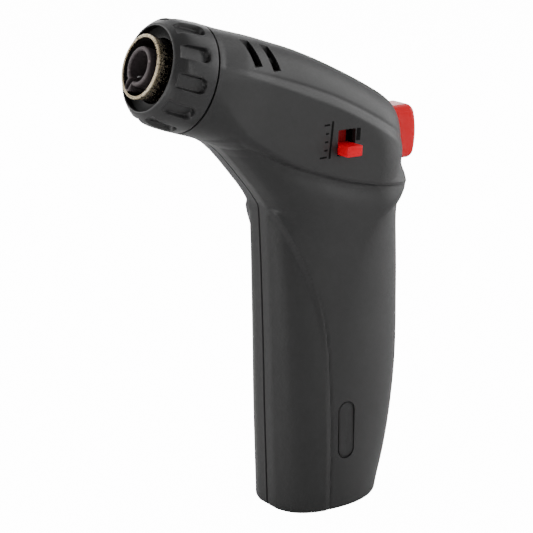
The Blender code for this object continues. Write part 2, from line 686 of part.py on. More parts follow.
turned("electrode_insulator", [(-6.0, 0.75), (-6.0, 1.45), (6.4, 1.45), (6.4, 0.75)],
       CERAMIC, segments=12, ring=True)
electrode()
mixing_tube()
turned("gas_jet", [
    (-43.5, 0.45), (-43.5, 1.5), (-41.2, 1.5), (-41.2, 3.1), (-38.6, 3.1), (-38.6, 1.2),
    (-37.0, 0.9), (-37.0, 0.45)], BRASS, segments=12, ring=True)
gas_hose()


# ---------------------------------------------------------------- tank and valve
def tank_outline(z, inset):
    """A horizontal (x, y) outline that follows the handle at height z."""
    n = 13
    spread = 0.5 - 0.5 * np.cos(np.linspace(0, math.pi, n))
    front, back = float(front_x(z)), float(back_x(z))
    x = front + (back - front) * spread
    half = np.minimum(flank(np.stack([x, np.full(n, z)], axis=1)), 15.2)
    y = half * rounding(back - x, 30.0, 2.0)
    widest = y.max()
    y = y * (widest - inset) / widest
    x = front + inset + (back - front - 2 * inset) * spread
    y[0] = max(y[0], 3.0)
    left = [(x[k], -y[k]) for k in range(n - 1)]
    right = [(x[k], y[k]) for k in range(n - 2, -1, -1)]
    return left + [(x[-1], 0.0)] + right


def fuel_tank():
    """An open-topped tank with a hole in its floor for the filling valve."""
    bottom, top = TANK_Z
    middle = [26, 42, 58, 72]
    outer = [(bottom, TANK_INSET + 0.9)]    # (z, inset), the foot drawn in
    outer += [(z, TANK_INSET) for z in (bottom + 1.2, *middle, top)]
    inner = [(z, TANK_LINING_INSET) for z in (bottom + 1.6, *middle, top)]
    verts = [(x, y, z) for z, inset in outer + inner for x, y in tank_outline(z, inset)]
    rows = np.arange(len(verts)).reshape(len(outer + inner), -1)
    outside, inside = rows[:len(outer)], rows[len(outer):]
    faces = bands(outside) + bands(inside) + band(outside[-1], inside[-1])
    faces += [outside[0], inside[0]]
    tank = make("fuel_tank", verts, faces, TANK)
    cut(tank, rod((FILL_X, 0, bottom - 2), Z_AXIS, 6, 3.7, 24))


def tank_lid():
    top = TANK_Z[1]
    lid = stacked("tank_lid", [tank_outline(top, TANK_INSET)] * 2, [top + 0.3, top + 2.6], TANK)
    cut(lid, rod((VALVE_X, 0, 80), Z_AXIS, 12, 4.2, 24))


def valve_body():
    body = turned("valve_body", [
        (0, 1.2), (0, 3.9), (3.6, 3.9), (3.6, 3.2), (4.6, 3.2), (4.6, 3.9), (5.4, 3.9),
        (5.4, 6.0), (12.4, 6.0), (14.2, 4.4), (14.2, 1.75), (12.2, 1.75), (12.2, 2.5),
        (2.2, 2.5), (2.2, 1.2)], BRASS, (VALVE_X, 0, 81.6), Z_AXIS, 20, ring=True)
    cut(body, rod((VALVE_X - 4.4, 0, VALVE_PORT_Z), (-1, 0, 0), 4, 1.6, 8))


def valve_lever():
    """An L-shaped lever: one arm forwards over the valve, one up to the trigger."""
    pivot_x, pivot_z = LEVER_PIVOT
    arm = ((-11.3, -1.6), (-3.4, -1.8), (0.4, -2.7), (2.6, -1.2), (2.7, 1.2), (2.3, 9.4),
           (0.8, 9.4), (0.3, 3.4), (-3.4, 1.5), (-11.3, 0.1))   # (x, z) from the pivot
    outline = [(pivot_x + x, pivot_z + z) for x, z in arm]
    lever = plate("valve_lever", outline, -3.0, 3.0, STEEL, (pivot_x, 0, pivot_z))
    cut(lever, rod((pivot_x, -5, pivot_z), Y_AXIS, 10, 1.2, 20))
    turned("lever_pin", [(0, 0.8), (0.2, 1.0), (25.8, 1.0), (26.0, 0.8)], STEEL,
           (pivot_x, -13.0, pivot_z), Y_AXIS, 16)


fuel_tank()
tank_lid()
valve_body()
turned("valve_seal", [(0.12, 3.35), (0.3, 3.9), (0.5, 4.05), (0.7, 3.9), (0.88, 3.35)],
       RUBBER, (VALVE_X, 0, 85.2), Z_AXIS, 16, ring=True)
turned("valve_stem", [(0, 0), (0, 2.2), (1.6, 2.2), (1.6, 1.35), (11.4, 1.35), (11.9, 0.9),
                      (11.9, 0)], BRASS, (VALVE_X, 0, 88.4), Z_AXIS, 14)
coil("valve_spring", (VALVE_X, 0, 84.3), Z_AXIS, radius=1.7, wire=0.28, length=3.7, turns=3)
sweep("pickup_tube", [(VALVE_X, 0, 81.2), (VALVE_X, 0, 60), (VALVE_X - 0.6, 0, 40),
                      (VALVE_X - 3.0, 0, 22)], 1.5, TANK, inner=0.8)
valve_lever()


# ---------------------------------------------------------------- trigger and igniter
def trigger_button():
    """A thumb face that bulges back, on a flange with a tang towards the lever."""
    low, high = TRIGGER_Z
    half = TRIGGER_HALF
    face = []
    for k in range(9):
        t = -1 + 2 * k / 8
        corner = TRIGGER_BULGE if k in (0, 8) else 0.0
        face.append((TRIGGER_BACK - TRIGGER_BULGE * t * t - corner,
                     low + (high - low) * (0.5 + 0.5 * t)))
    button = plate("trigger_button", [(23.0, low - 1), *face, (23.0, high + 1)],
                   -half - 1, half + 1, RED, (TRIGGER_BACK, 0, 0.5 * (low + high)))
    trim = block("tool", (18, 45), (-half, half), TRIGGER_Z, radius=TRIGGER_CORNER, steps=4)
    boolean(button, trim, "INTERSECT")
    join(button, block("tool", (21.2, 23.2), (-7.5, 7.5), (109.8, 126.8), radius=2.0))
    join(button, block("tool", (16.4, 24.0), (-2.6, 2.6), (110.4, 113.2)))


def igniter():
    body = block("piezo_body", (-4.0, 11.0), (-5.0, 5.0), (PIEZO_Z - 5, PIEZO_Z + 5), TANK, 1.2)
    cut(body, rod((0.4, 0, PIEZO_Z), X_AXIS, 14, 3.7, 24))
    turned("piezo_plunger", [(0, 0), (0, 3.3), (14.6, 3.3), (14.6, 4.9), (16.0, 4.9),
                             (16.0, 0)], CERAMIC, (4.9, 0, PIEZO_Z), X_AXIS, 24)
    coil("trigger_spring", (11.6, 0, PIEZO_Z), X_AXIS, radius=4.1, wire=0.4, length=7.3,
         turns=4)
    lead = bezier((-4.5, 2.4, 121.5), (-14, 5.0, 122.5), (-22, 8.0, 127),
                  on_barrel(-26.8, 5.9, 0.35), 10)
    sweep("ignition_lead", lead, 0.8, RUBBER, segments=6)


trigger_button()
igniter()


# ---------------------------------------------------------------- switch and window
def lock_slider():
    """A knob outside the slot, on a thin shoe just inside the wall."""
    slider = plate("lock_slider", slot_outline(-4.7, 0.9, 118.7, 122.1, 0.5), -21.5, -13.0,
                   RED, (-1.9, -16.5, 120.4))
    shoe = [(-7.4, 115.2), (3.0, 115.2), (3.0, 121.2), (0.1, 121.2), (0.1, 126.8),
            (-2.2, 129.0), (-7.4, 129.0)]
    join(slider, plate("tool", leaned(shoe), -13.2, -12.3))


def fuel_window():
    """A pane in the left shell's opening, with a flange on its inner side."""
    window = plate("fuel_window", rounded(*WINDOW, WINDOW_CORNER, 6), -13.9, -11.9, CHARCOAL)
    join(window, plate("tool", rounded(-4.0, 4.6, 16.2, 37.4, 3.0, 4), -12.1, -11.6))


lock_slider()
plate("slot_backing", slot_outline(-8.5, 4.2, 112.5, 134.0, 1.0), -11.7, -10.9, BLACK)
fuel_window()

# ---------------------------------------------------------------- filling valve
turned("fill_valve_body", [
    (0, 1.7), (0, 2.9), (0.5, 3.4), (14.2, 3.4), (14.2, 1.7), (12.6, 1.7), (12.6, 2.3),
    (3.0, 2.3), (3.0, 1.7)], BRASS, (FILL_X, 0, 2.0), Z_AXIS, 20, ring=True)
turned("fill_valve_stem", [(0, 0), (0, 0.9), (0.4, 1.2), (5.4, 1.2), (5.4, 2.0), (6.6, 2.0),
                           (6.6, 0)], STEEL, (FILL_X, 0, 2.4), Z_AXIS, 12)
turned("fill_valve_seal", [(0, 1.45), (0, 2.15), (0.9, 2.15), (0.9, 1.45)],
       RUBBER, (FILL_X, 0, 6.2), Z_AXIS, 12, ring=True)
coil("fill_valve_spring", (FILL_X, 0, 9.5), Z_AXIS, radius=1.6, wire=0.25, length=4.6, turns=4)


# ---------------------------------------------------------------- screws
def shell_screw(number, x, z):
    """A screw put in from the right, with a cross cut in its head."""
    screw = turned(f"shell_screw_{number}", [
        (-7.7, 0), (-6.9, 1.0), (7.3, 1.0), (7.3, 2.1), (8.8, 2.0), (9.1, 1.4), (9.1, 0)],
        STEEL, (x, 0, z), Y_AXIS, 12)
    for half_x, half_z in ((1.3, 0.3), (0.3, 1.3)):
        cut(screw, block("tool", (x - half_x, x + half_x), (8.2, 10), (z - half_z, z + half_z)))


for index, (screw_x, screw_z) in enumerate(SCREWS, 1):
    shell_screw(index, screw_x, screw_z)
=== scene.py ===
"""A gas torch with an angled barrel and a grip, standing upright on its base.

The barrel points forward and up, towards -X and +Z. The two shell halves meet on the plane
y = 0, with the left half on -Y, and the thumb button is at the back, on +X. The base is at z = 0.
Dimensions are in millimetres up to make(), which turns them into metres. Lights, camera and
material scales are in metres.
"""
import json
import math

import bmesh
import bpy
import numpy as np
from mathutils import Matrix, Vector
from mathutils.bvhtree import BVHTree


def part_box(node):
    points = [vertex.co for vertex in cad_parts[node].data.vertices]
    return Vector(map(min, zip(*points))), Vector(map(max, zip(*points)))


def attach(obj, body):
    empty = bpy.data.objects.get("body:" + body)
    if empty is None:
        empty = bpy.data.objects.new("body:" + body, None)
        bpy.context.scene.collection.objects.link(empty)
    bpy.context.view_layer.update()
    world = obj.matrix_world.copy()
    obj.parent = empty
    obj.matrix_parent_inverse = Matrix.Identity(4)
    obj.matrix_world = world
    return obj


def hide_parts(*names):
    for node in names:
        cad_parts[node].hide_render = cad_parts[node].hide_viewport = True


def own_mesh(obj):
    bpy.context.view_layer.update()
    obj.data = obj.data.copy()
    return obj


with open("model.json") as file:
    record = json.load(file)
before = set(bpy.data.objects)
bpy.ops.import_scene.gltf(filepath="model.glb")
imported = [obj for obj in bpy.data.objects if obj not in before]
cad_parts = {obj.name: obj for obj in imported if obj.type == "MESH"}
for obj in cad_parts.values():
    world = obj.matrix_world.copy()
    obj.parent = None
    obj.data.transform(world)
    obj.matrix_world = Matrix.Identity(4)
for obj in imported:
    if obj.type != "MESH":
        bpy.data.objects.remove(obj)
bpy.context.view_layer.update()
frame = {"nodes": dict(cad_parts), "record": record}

# ------------------------------------------------------------------ shared dimensions (mm)
LEFT, RIGHT = -1, 1
WALL = 2.0
TILT = math.radians(17.96)  # barrel above the horizontal
SEAM = (-49.61, 144.63)  # x, z where the barrel's axis crosses the collar seam
AXIS = np.array([-math.cos(TILT), 0.0, math.sin(TILT)])  # forwards along the barrel
SEAM_POINT = np.array([SEAM[0], 0.0, SEAM[1]])
R_BARREL = 17.0
BASE_FILLET = 1.8
BASE_LIP = 5.0
T_HANDLE = 15.6  # half thickness of the grip
FRONT_FLAT = 5.0  # half width of the flat strip down the grip's front
SCOOPS = 11  # finger scoops round the collar
SCOOP_PHASE = math.radians(12.8)
SLIDE_Z, SLIDE_LEAN = 122.3, 0.065  # the switch leans back about this height
FILLER_X = 8.0

# x, z of the screws and of the slots in each flank
SCREWS = ((-17.0, 147.0), (8.0, 135.3), (-16.6, 100.0), (21.3, 96.0), (-13.0, 8.2), (15.6, 8.2))
VENTS = ((-34.7, 150.2), (-27.7, 148.2))

# window opening: x from, x to, z from, z to
WINDOW_BOX = (-2.8, 3.4, 17.5, 36.3)
WINDOW_CORNER = 3.05

# stations from the barrel's seam down to the base: front x, front z, back x, back z
OUTLINE = np.array([
    (-54.85, 128.46, -44.37, 160.80), (-50.2, 127.0, -40.0, 159.35), (-45.7, 125.3, -34.6, 157.85),
    (-41.8, 123.3, -28.4, 156.1), (-38.7, 120.6, -21.0, 153.65), (-35.7, 117.3, -12.6, 150.75),
    (-32.9, 114.0, -3.4, 146.85), (-30.2, 110.7, 6.2, 142.2), (-28.0, 108.0, 15.4, 137.3),
    (-25.9, 105.1, 22.7, 132.7), (-24.1, 102.05, 26.4, 128.2), (-23.7, 98.6, 27.9, 122.8),
    (-23.5, 95.3, 28.4, 117.6), (-23.35, 92.0, 28.2, 112.4), (-23.2, 88.8, 29.9, 108.0),
    (-23.05, 85.8, 30.4, 105.2), (-22.95, 83.0, 29.4, 102.8), (-22.85, 80.2, 27.9, 100.7),
    (-22.75, 77.2, 27.6, 97.6), (-22.65, 74.0, 27.8, 92.8), (-22.5, 69.6, 28.3, 85.6),
    (-22.3, 63.6, 28.8, 76.6), (-22.1, 56.4, 29.1, 66.4), (-21.9, 48.6, 29.2, 55.6),
    (-21.75, 40.2, 28.9, 44.6), (-21.5, 31.4, 27.9, 33.6), (-21.2, 22.4, 26.4, 23.2),
    (-20.9, 13.2, 24.2, 13.4), (-20.6, 4.0, 21.4, 4.0), (-20.5, 0.0, 20.4, 0.0),
])
STATIONS = np.arange(len(OUTLINE))
BOTTOM_ROW = 28  # the last station above the base
BOTTOM_Z = 4.0  # and its height

# x, z along the lower edge of the head's panel, along its dome's edge, and down the grip
PANEL_LOW = np.array([
    (-62, 130.8), (-54.85, 128.46), (-50, 126.9), (-46, 125.5), (-42.9, 124.3), (-37.5, 122.2),
    (-32, 119.9), (-27.3, 117.6), (-23, 115.6), (-18, 113.6), (-12.9, 111.7), (-7.1, 109.8),
    (0.7, 107.5), (8.7, 105.7), (16.7, 104.4), (22, 103.7), (28, 103.0), (34, 102.3),
])
PANEL_TOP = np.array([
    (-62, 155.3), (-54, 152.8), (-47.4, 150.6), (-41, 148.9), (-33.8, 146.6), (-26.5, 144.3),
    (-19.1, 141.9), (-11.5, 139.1), (-3.9, 136.0), (3.9, 132.2), (11.9, 127.8), (17.9, 124.2),
    (24, 120.4), (32, 115),
])
GRIP_EDGE = np.array([
    (-24.6, 104.6), (-23.5, 100.6), (-20.8, 95), (-17.6, 88.5), (-14.8, 81.8), (-12.3, 74.7),
    (-10.1, 66.8), (-8.6, 56.8), (-7.9, 46.5), (-7.4, 34.6), (-7.3, 20.7), (-7.6, 3.4), (-7.7, -3),
])

# how the back edge is rounded at each station: how far in, and how squarely
ROUND_DEPTH = np.interp(STATIONS, [0, 2, 4, 7, 9, 11, 13, 15, 17, 19, 22, 26, 29],
                        [17, 13.5, 13, 14, 16, 17.5, 18, 18, 20, 25, 33, 31, 23])
ROUND_POWER = np.interp(STATIONS, [0, 3, 10, 13, 16, 19, 29], [2, 2.0, 2.0, 2.05, 2.05, 2.0, 2.0])

# the flank's curves, each a row of places and a row of values
HEAD_DEPTH = ([-5, 0, 5, 10, 16, 24, 34, 60],  # distance behind the seam
              [17, 16.5, 13.5, 9.5, 6.0, 4.0, 3.0, 2.6])  # how far in the lower edge is rounded
WEB_CURVE = ([0, 1.0, 1.6, 3.4, 6.5, 10.5, 15, 60],  # 0.75 of the distance behind the front edge
             [5.2, 8.3, 9.7, 12.1, 14.2, 15.2, 15.6, 15.6])  # half thickness
GRIP_EDGE_T = ([-5, 20, 50, 70, 82, 90, 96, 102, 110],  # z
               [15.35, 15.3, 14.9, 14.3, 13.6, 12.5, 10.8, 8.5, 8.3])  # half thickness
COLUMN_T = ([-5, 20, 45, 70, 85, 95, 102],  # z
            [15.75, 15.7, 15.1, 14.0, 13.0, 12.3, 12.0])  # half thickness
COLUMN_RISE = ([0, 0.5, 1.4, 3.4, 7.0, 10.5, 15, 60],  # distance behind the front edge
               [0, 0.15, 0.36, 0.61, 0.83, 0.94, 1.0, 1.0])  # share of the full thickness
GRIP_TOP = (99.5, 103.5)  # z range over which the grip blends into the web


# ------------------------------------------------------------------ curves
def pchip(xk, yk, x):
    """Monotone cubic interpolation through the knots (xk, yk)."""
    xk, yk, x = np.asarray(xk, float), np.asarray(yk, float), np.asarray(x, float)
    step = np.diff(xk)
    rise = np.diff(yk) / step
    slope = np.zeros(len(xk))
    slope[0], slope[-1] = rise[0], rise[-1]
    for i in range(1, len(xk) - 1):
        if rise[i - 1] * rise[i] > 0:
            w1, w2 = 2 * step[i] + step[i - 1], step[i] + 2 * step[i - 1]
            slope[i] = (w1 + w2) / (w1 / rise[i - 1] + w2 / rise[i])
    i = np.clip(np.searchsorted(xk, x) - 1, 0, len(xk) - 2)
    t = np.clip((x - xk[i]) / step[i], 0, 1)
    return ((1 + 2 * t) * (1 - t) ** 2 * yk[i] + t * (1 - t) ** 2 * step[i] * slope[i]
            + t * t * (3 - 2 * t) * yk[i + 1] + t * t * (t - 1) * step[i] * slope[i + 1])


def through(points, u):
    """Catmull-Rom curve through points; u counts in points."""
    n = len(points)
    i = np.clip(np.floor(u).astype(int), 0, n - 2)
    t = (u - i)[:, None]
    p1, p2 = points[i], points[i + 1]
    p0, p3 = points[np.clip(i - 1, 0, n - 1)], points[np.clip(i + 2, 0, n - 1)]
    p0 = np.where((i == 0)[:, None], 2 * p1 - p2, p0)
    p3 = np.where((i == n - 2)[:, None], 2 * p2 - p1, p3)
    return 0.5 * (2 * p1 + (p2 - p0) * t + (2 * p0 - 5 * p1 + 4 * p2 - p3) * t ** 2
                  + (-p0 + 3 * p1 - 3 * p2 + p3) * t ** 3)


def bezier(p0, p1, p2, p3, count):
    t = np.linspace(0, 1, count)[:, None]
    return ((1 - t) ** 3 * p0 + 3 * (1 - t) ** 2 * t * p1 + 3 * (1 - t) * t * t * p2
            + t ** 3 * p3)


def signed_distance(points, curve):
    """Distance from a curve, positive on the left of its direction."""
    line = through(curve, np.linspace(0, len(curve) - 1, 200))
    starts, runs = line[:-1], np.diff(line, axis=0)
    best, sign = np.full(len(points), 1e9), np.ones(len(points))
    for start, run, run_squared in zip(starts, runs, (runs ** 2).sum(1)):
        offset = points - start
        t = np.clip((offset @ run) / run_squared, 0, 1)
        squared = ((offset - t[:, None] * run) ** 2).sum(1)
        near = squared < best
        best = np.where(near, squared, best)
        cross = run[0] * offset[:, 1] - run[1] * offset[:, 0]
        sign = np.where(near, np.where(cross < 0, -1.0, 1.0), sign)
    return np.sqrt(best) * sign


def smooth(x, a, b):
    """0 at a, 1 at b, eased in between."""
    t = np.clip((x - a) / (b - a), 0, 1)
    return t * t * (3 - 2 * t)


def rounding(distance, depth, power):
    """A superellipse's rise from 0 at an edge to 1 at depth."""
    return (1 - np.clip(1 - distance / depth, 0, 1) ** power) ** (1.0 / power)


def soft_max(a, b, k):
    h = np.clip(0.5 + 0.5 * (a - b) / k, 0, 1)
    return b * (1 - h) + a * h + k * h * (1 - h)


def spread(count, density):
    """Values from 0 to 1, closer together where density is high."""
    q = np.linspace(0, 1, 4001)
    w = density(q)
    total = np.concatenate([[0], np.cumsum((w[1:] + w[:-1]) / 2 * np.diff(q))])
    return np.interp(np.linspace(0, total[-1], count), total, q)


# ------------------------------------------------------------------ the body's surface
def head_flank(behind, low, top):
    """Half thickness of the raised panel on the head."""
    depth = np.interp(behind, *HEAD_DEPTH)
    edge = rounding(np.maximum(low, 0), depth, 2 + 0.2 * smooth(behind, 0, 30))
    full = R_BARREL - 0.9 * smooth(behind, 2, 22) + 0.3 * smooth(behind, 30, 70)
    head = full * np.where(low > 0, edge, 0)
    # a chamfer up to the dome's edge, a fine groove along it, and the dome set back
    wide = 1.1 + 1.4 * smooth(behind, 8, 40)
    drop = 1.0 * np.clip((top + wide) / wide, 0, 1) + 0.22 * np.exp(-((top - 0.35) / 0.5) ** 2)
    fade = (0.35 + 0.65 * smooth(behind, 6, 30)) * smooth(behind, 0.0, 2.5)
    return head - drop * fade * (low > 0)


def lower_flank(x, z, low, grip):
    """Half thickness of the web, the grip's main body and the column down its front."""
    from_front = x - np.interp(z, OUTLINE[::-1, 1], OUTLINE[::-1, 0])
    web = pchip(*WEB_CURVE, np.maximum(from_front * 0.75, 0)) * smooth(x, -56, -40)
    edge = pchip(*GRIP_EDGE_T, z)
    body = edge + (T_HANDLE - edge) * (1 - np.exp(-np.maximum(grip, 0) / 8.0))
    soft = smooth(grip, 0.5, 9)  # the blend is longer away from the grip's edge
    under = smooth(z, GRIP_TOP[0] - 10 * soft, GRIP_TOP[1] + 4.5 * soft)
    main = web * under + body * (1 - under)
    rise = pchip(*COLUMN_RISE, np.maximum(from_front, 0))
    column = FRONT_FLAT + (pchip(*COLUMN_T, z) - FRONT_FLAT) * rise
    under = smooth(z, *GRIP_TOP)
    step = smooth(grip, -0.65, 0.65) * (1 - under) + under
    lower = column + (main - column) * step
    # a fine groove beside the grip's edge, and a hollow under the head's panel
    groove = 0.32 * np.exp(-((grip - 1.5) / 0.34) ** 2) * smooth(z, 84, 58)
    hollow = ((0.75 - 0.45 * smooth(x, 2, 18)) * np.exp(-(np.minimum(low - 0.5, 0) / 3.4) ** 2)
              * smooth(x, -44, -26) * smooth(low, -9, -7))
    return lower - groove - hollow


def flank(points):
    """Half thickness of the body at (x, z)."""
    x, z = points[:, 0], points[:, 1]
    behind = (x - SEAM[0]) * math.cos(TILT) - (z - SEAM[1]) * math.sin(TILT)
    low = signed_distance(points, PANEL_LOW)
    top = signed_distance(points, PANEL_TOP)
    grip = signed_distance(points, GRIP_EDGE)
    head = head_flank(behind, low, top)
    y = soft_max(head, lower_flank(x, z, low, grip), 0.3)
    # between 3 and 6 mm inside the panel the blend gives way to the head alone
    return np.where(low > 6, head, np.where(low > 3, head + (y - head) * (6 - low) / 3.0, y))


def chords(u):
    """Front and back ends, length and direction of the outline's sections at u."""
    rows = through(OUTLINE, u)
    front, back = rows[:, :2], rows[:, 2:]
    length = np.linalg.norm(back - front, axis=1)
    return front, back, length, (back - front) / length[:, None]


def sections(u, q, inset):
    """x, z and half thickness at fractions q from front to back of the sections at u."""
    front, _, length, way = chords(u)
    length = length[:, None]

    def place(along):
        return front[:, None, :] + way[:, None, :] * along[:, :, None]

    along = length * q
    y = flank(place(along).reshape(-1, 2)).reshape(along.shape)
    depth = np.interp(u, STATIONS, ROUND_DEPTH)[:, None]
    power = np.interp(u, STATIONS, ROUND_POWER)[:, None]
    y = y * rounding(length - along, depth, power)
    inset = np.broadcast_to(np.asarray(inset, float), u.shape)[:, None]
    widest = y.max(axis=1, keepdims=True)
    y = y * (widest - inset) / widest
    p = place(inset + (length - 2 * inset) * q)
    return p[:, :, 0], p[:, :, 1], y


# ------------------------------------------------------------------ mesh helpers
def link(name, mesh):
    obj = bpy.data.objects.new(name, mesh)
    bpy.context.scene.collection.objects.link(obj)
    return obj


def make(name, verts, faces, mats=(), smooth_angle=35.0, clean=True):
    """A mesh object from points in mm."""
    mesh = bpy.data.meshes.new(name)
    points = [tuple(float(c) / 1000 for c in v) for v in verts]
    mesh.from_pydata(points, [], [tuple(int(i) for i in f) for f in faces])
    if clean:
        work = bmesh.new()
        work.from_mesh(mesh)
        bmesh.ops.remove_doubles(work, verts=work.verts, dist=1e-7)
        bmesh.ops.recalc_face_normals(work, faces=work.faces)
        if work.calc_volume(signed=True) < 0:
            bmesh.ops.reverse_faces(work, faces=work.faces)
        work.to_mesh(mesh)
        work.free()
    obj = link(name, mesh)
    for material in mats:
        mesh.materials.append(material)
    if smooth_angle:
        shade(obj, smooth_angle)
    return obj


def shade(obj, angle=35.0):
    obj.data.shade_smooth()
    obj.data.set_sharp_from_angle(angle=math.radians(angle))


def apply_modifiers(obj):
    bpy.context.view_layer.update()
    graph = bpy.context.evaluated_depsgraph_get()
    made = bpy.data.meshes.new_from_object(obj.evaluated_get(graph))
    obj.modifiers.clear()
    old, name = obj.data, obj.data.name
    obj.data = made
    bpy.data.meshes.remove(old)
    made.name = name


def boolean(obj, cutter, how="DIFFERENCE"):
    modifier = obj.modifiers.new("cut", "BOOLEAN")
    modifier.operation = how
    modifier.solver = "EXACT"
    modifier.object = cutter
    apply_modifiers(obj)
    bpy.data.objects.remove(cutter, do_unlink=True)


def bevel(obj, width, segments):
    modifier = obj.modifiers.new("bevel", "BEVEL")
    modifier.width = width / 1000
    modifier.segments = segments
    modifier.limit_method = "ANGLE"
    modifier.angle_limit = math.radians(40)
    modifier.harden_normals = False
    apply_modifiers(obj)
    shade(obj)


def merged(name, objs):
    """Several separate meshes as one object, for cutting with in one go."""
    verts, faces = [], []
    for obj in objs:
        base = len(verts)
        verts += [tuple(v.co) for v in obj.data.vertices]
        faces += [tuple(base + i for i in p.vertices) for p in obj.data.polygons]
        bpy.data.objects.remove(obj, do_unlink=True)
    mesh = bpy.data.meshes.new(name)
    mesh.from_pydata(verts, [], faces)
    return link(name, mesh)


def stacked(rows):
    """The points of all rows in one list, and the indices of each row."""
    verts, rings = [], []
    for row in rows:
        rings.append(range(len(verts), len(verts) + len(row)))
        verts.extend(row)
    return verts, rings


def bands(rings):
    """Quads from each ring to the next."""
    faces = []
    for p, q in zip(rings, rings[1:]):
        n = len(p)
        faces += [(p[k], p[(k + 1) % n], q[(k + 1) % n], q[k]) for k in range(n)]
    return faces


def lofted(name, rows, mats=(), smooth_angle=35.0, caps_first=False):
    """A solid through rows of points, closed at both ends."""
    verts, rings = stacked(rows)
    sides, caps = bands(rings), [tuple(rings[0]), tuple(rings[-1])]
    faces = caps + sides if caps_first else sides + caps
    return make(name, verts, faces, mats, smooth_angle)


def turned_faces(rings, closed=True):
    """Faces between rings round an axis; a ring of one point is a pole."""
    faces = []
    for p, q in zip(rings, rings[1:] + rings[:1] if closed else rings[1:]):
        count = max(len(p), len(q))
        for k in range(count):
            n = (k + 1) % count
            if len(p) == 1:
                faces.append((p[0], q[k], q[n]))
            elif len(q) == 1:
                faces.append((p[k], q[0], p[n]))
            else:
                faces.append((p[k], q[k], q[n], p[n]))
    return faces


def basis(axis):
    """The unit axis and two directions across it."""
    a = np.asarray(axis, float)
    a = a / np.linalg.norm(a)
    side = np.array([0.0, 1.0, 0.0]) if abs(a[1]) < 0.9 else np.array([1.0, 0.0, 0.0])
    v = np.cross(a, side)
    v = v / np.linalg.norm(v)
    return a, np.cross(v, a), v


def ring_points(distance, radius, turn, at=SEAM_POINT, axis=AXIS):
    """Points round an axis at the angles in turn; distance and radius may vary with them."""
    a, u, v = basis(axis)
    distance = np.broadcast_to(distance, turn.shape)[:, None]
    radius = np.broadcast_to(radius, turn.shape)[:, None]
    return at + a * distance + (np.outer(np.cos(turn), u) + np.outer(np.sin(turn), v)) * radius


def on_barrel(distance, radius=0.0, degrees=0.0):
    turn = np.array([math.radians(degrees)])
    return ring_points(distance, radius, turn)[0]


def barrel_place(face):
    """How far a face's centre is in front of the seam and from the barrel's axis, in metres."""
    front = Vector(tuple(AXIS))
    offset = face.center - Vector(tuple(SEAM_POINT / 1000))
    distance = offset.dot(front)
    return distance, (offset - front * distance).length


def turned(name, profile, mats=(), at=SEAM_POINT, axis=AXIS, segments=96, closed=False):
    """A turned piece from (distance along the axis, radius) pairs."""
    at = np.asarray(at, float)
    turn = 2 * math.pi * np.arange(segments) / segments
    rows = []
    for distance, radius in profile:
        row = ring_points(distance, radius, turn, at, axis)
        rows.append(row if radius else row[:1])
    verts, rings = stacked(rows)
    faces = turned_faces(rings, closed)
    if not closed:
        faces += [tuple(ring) for ring in (rings[0], rings[-1]) if len(ring) > 1]
    return make(name, verts, faces, mats)


def arc(centre, radius, start, end, count):
    """Points round part of a circle in a turned profile, in degrees from the axis direction."""
    turns = [math.radians(start + (end - start) * k / (count - 1)) for k in range(count)]
    return [(centre[0] + radius * math.cos(t), centre[1] + radius * math.sin(t)) for t in turns]


def rounded(x0, x1, z0, z1, r, steps):
    """A rectangle with rounded corners."""
    points = []
    corners = ((x1 - r, z1 - r, 0), (x0 + r, z1 - r, 90), (x0 + r, z0 + r, 180),
               (x1 - r, z0 + r, 270))
    for cx, cz, start in corners:
        for k in range(steps + 1):
            t = math.radians(start + 90 * k / steps)
            points.append((cx + r * math.cos(t), cz + r * math.sin(t)))
    return points


def divided(outline, edges, steps):
    """An outline with the numbered edges cut into steps."""
    outline = np.array(outline)
    points = []
    for k, (a, b) in enumerate(zip(outline, np.roll(outline, -1, axis=0))):
        parts = steps if k in edges else 1
        points += [a + (b - a) * i / parts for i in range(parts)]
    return np.array(points)


def lean(outline):
    return [(x + (z - SLIDE_Z) * SLIDE_LEAN, z) for x, z in outline]


def plate(name, outline, y0, y1, mats=()):
    """An (x, z) outline made solid from y0 to y1."""
    return lofted(name, [[(x, y, z) for x, z in outline] for y in (y0, y1)], mats,
                  caps_first=True)


def block(name, x, y, z, corner=0.0, steps=3):
    """A box from three (low, high) spans, its edges along x rounded."""
    if corner:
        outline = rounded(*y, *z, corner, steps)
    else:
        outline = [(y[0], z[0]), (y[1], z[0]), (y[1], z[1]), (y[0], z[1])]
    return lofted(name, [[(end, a, b) for a, b in outline] for end in x], caps_first=True)


def sweep(name, points, radii, mats, segments):
    """Round wire along points, starting in the plane y = 0."""
    way = np.gradient(points, axis=0)
    way /= np.linalg.norm(way, axis=1)[:, None]
    normal = np.cross(way[0], (0.0, 1.0, 0.0))
    normal /= np.linalg.norm(normal)
    turns = [2 * math.pi * k / segments for k in range(segments)]
    rows = []
    for p, w, r in zip(points, way, radii):
        normal = normal - w * (normal @ w)
        normal /= np.linalg.norm(normal)
        other = np.cross(w, normal)
        rows.append([p + (normal * math.cos(t) + other * math.sin(t)) * r for t in turns])
    return lofted(name, rows, mats)


def piece(obj, body, node):
    """Puts a finished piece in place of its CAD node."""
    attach(obj, body)
    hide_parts(node)
    return obj


# ------------------------------------------------------------------ materials
def brighter(colour, gain, lift=0.0):
    return tuple(min(1, c * gain + lift) for c in colour)


